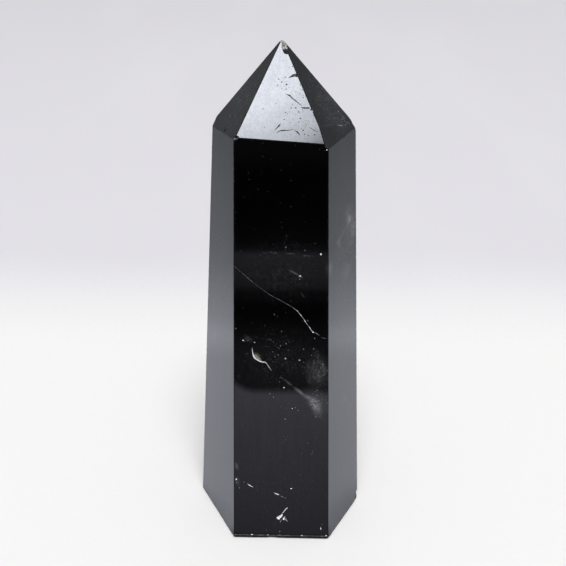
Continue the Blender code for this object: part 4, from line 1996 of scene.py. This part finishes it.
@dataclass(frozen=True)
class Lamp:
    """A round soft lamp that faces the stone.

    Attributes:
        name: Name of the lamp.
        bearing: Degrees from the front.
        rise: Degrees above the horizon.
        radius: Half its width, as degrees seen from the stone.
        glow: Brightness at its middle, past half its radius and near its rim.
        colour: Colour of its light.
        lights: Whether it lights the table, or only shows in the polish.
        mirrored: Whether it shows in the polish.
    """

    name: str
    bearing: float
    rise: float
    radius: float
    glow: tuple[float, float, float]
    colour: tuple[float, float, float, float] = (1.0, 1.0, 1.0, 1.0)
    lights: bool = False
    mirrored: bool = True

    DISTANCE = 3000.0
    AIM = 60.0  # Height on the stone that the lamp faces
    SIDES = 64
    RINGS = (0.15, 0.53, 0.8, 1.0)  # Where its brightness changes, from the middle to the rim

    def mix(self) -> bpy.types.Material:
        """Mix the glow.

        Returns:
            The material.
        """
        recipe = Recipe(self.name)
        away = recipe.add("ShaderNodeVectorMath", {0: recipe.place()}, operation="LENGTH").outputs["Value"]
        stops = tuple(zip(self.RINGS, (*self.glow, 0.0)))
        strength = recipe.ramp(away, stops, 1.0)
        feeds = {"Color": self.colour, "Strength": strength}
        material = recipe.surface(recipe.add("ShaderNodeEmission", feeds))
        if not self.lights:
            material.cycles.emission_sampling = "NONE"
        return material

    def hang(self) -> bpy.types.Object:
        """Make the lamp and hang it in place.

        Returns:
            The lamp.
        """
        mesh = bmesh.new()
        bmesh.ops.create_circle(mesh, cap_ends=True, segments=self.SIDES, radius=1.0)
        lamp = object_of(self.name, mesh, [self.mix()])
        out = towards(self.bearing, self.rise)
        lamp.location = UP * self.AIM * MM + out * self.DISTANCE * MM
        lamp.rotation_euler = out.to_track_quat("Z", "Y").to_euler()
        lamp.scale = (math.tan(math.radians(self.radius)) * self.DISTANCE * MM,) * 3
        lamp.visible_camera = False
        lamp.visible_shadow = False
        lamp.visible_glossy = self.mirrored
        if not self.lights:
            lamp.visible_diffuse = False
        return lamp


@dataclass
class Studio:
    """The table, the soft lamps and the pale room.

    Attributes:
        table: Width of the table.
        table_gap: How far the table lies under the base.
        glow_height: Height of the glowing sheet that paints the table's reflection in the polish.
        lamps: Lamps round the stone.
        room_seen: Colour of the room where the camera sees it.
        room_mirrored: Colour of the room where the polish mirrors it.
        room_light: Brightness of the light that the room gives.
    """

    table: float = 6000.0
    table_gap: float = 0.02
    glow_height: float = 0.3
    lamps: tuple[Lamp, ...] = (
        Lamp("key_lamp", -3.0, 53.5, 12.5, (17.2, 17.0, 9.8), (0.94, 0.985, 1.08, 1.0)),
        Lamp("window_light", 7.0, 68.0, 14.0, (18.5, 18.5, 14.8), lights=True, mirrored=False),
        Lamp("back_lamp", 183.0, 48.0, 13.0, (6.0, 4.5, 2.0)),
        Lamp("left_lamp", 285.0, 50.0, 11.0, (5.0, 4.0, 2.0)),
        Lamp("right_lamp", 72.0, 50.0, 10.0, (5.0, 4.0, 2.0)),
    )
    room_seen: tuple[float, float, float, float] = (0.79, 0.79, 0.81, 1.0)
    room_mirrored: tuple[float, float, float, float] = (0.42, 0.435, 0.475, 1.0)
    room_light: float = 0.355

    def sheet(self, name: str, height: float, material: bpy.types.Material) -> bpy.types.Object:
        """Make a flat square at a height.

        Args:
            name: Name of the sheet.
            height: Height over the table.
            material: Its material.

        Returns:
            The sheet.
        """
        mesh = bmesh.new()
        bmesh.ops.create_grid(mesh, x_segments=1, y_segments=1, size=self.table / 2 * MM)
        sheet = object_of(name, mesh, [material])
        sheet.location = UP * height * MM
        return sheet

    def room(self) -> bpy.types.World:
        """Mix the room's surroundings.

        Returns:
            The world.
        """
        recipe = Recipe("pale_room", world=True)
        seen = recipe.add("ShaderNodeLightPath").outputs
        light = (self.room_light, self.room_light, self.room_light, 1.0)
        colour = recipe.blend(seen["Is Glossy Ray"], light, self.room_mirrored)
        colour = recipe.blend(seen["Is Camera Ray"], colour, self.room_seen)
        return recipe.surface(recipe.add("ShaderNodeBackground", {"Color": colour}))

    def build(self) -> None:
        """Set up the table, the lamps and the room."""
        self.sheet("pale_table", -self.table_gap, Cloth().mix())
        # Glowing sheet seen only in the polish: a painted reflection of the table, with painted shade by the
        # stone's foot.
        glow = self.sheet("mirrored_table", self.glow_height, TableGlow().mix())
        glow.visible_camera = False
        glow.visible_diffuse = False
        glow.visible_transmission = False
        glow.visible_shadow = False
        for lamp in self.lamps:
            lamp.hang()
            LOG.info("%s: bearing %.0f, rise %.0f", lamp.name, lamp.bearing, lamp.rise)
        scene = bpy.context.scene
        scene.world = self.room()
        scene.view_settings.view_transform = "Standard"
        scene.view_settings.look = "None"
        scene.cycles.use_denoising = True
        scene.cycles.max_bounces = 6


@dataclass
class PhotoCamera:
    """The camera, close in front of the stone and looking down on it.

    Attributes:
        place: Where the camera stands.
        down: Degrees that it looks down.
        turn: Degrees that it is turned to the left.
        lens: Focal length.
        sensor: Width of the picture at that focal length.
        clip: Nearest and farthest distance that it sees.
    """

    place: tuple[float, float, float] = (3.6, -127.7, 131.4)
    down: float = 31.32
    turn: float = 1.30
    lens: float = 50.88
    sensor: float = 36.0
    clip: tuple[float, float] = (10.0, 20000.0)

    def build(self) -> bpy.types.Object:
        """Set up the camera.

        Returns:
            The camera.
        """
        data = bpy.data.cameras.new("photo_camera")
        data.lens = self.lens
        data.sensor_width = self.sensor
        data.clip_start, data.clip_end = (distance * MM for distance in self.clip)
        camera = bpy.data.objects.new("photo_camera", data)
        camera.location = Vector(self.place) * MM
        camera.rotation_euler = (math.radians(90.0 - self.down), 0.0, math.radians(self.turn))
        bpy.context.scene.collection.objects.link(camera)
        bpy.context.scene.camera = camera
        return camera


def corners(box: tuple[Vector, Vector]) -> list[list[float]]:
    """Both corners of a box as plain lists."""
    return [list(corner) for corner in box]


def main() -> None:
    """Build the stone, its studio and its camera."""
    logging.basicConfig(level=logging.INFO, format="%(message)s")
    point = MorionPoint()
    stone = point.build(point.dress())
    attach(stone, "root")
    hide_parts("crystal")
    LOG.info("%s stands on the table", stone.name)
    Studio().build()
    PhotoCamera().build()


if __name__ == "__main__":
    main()
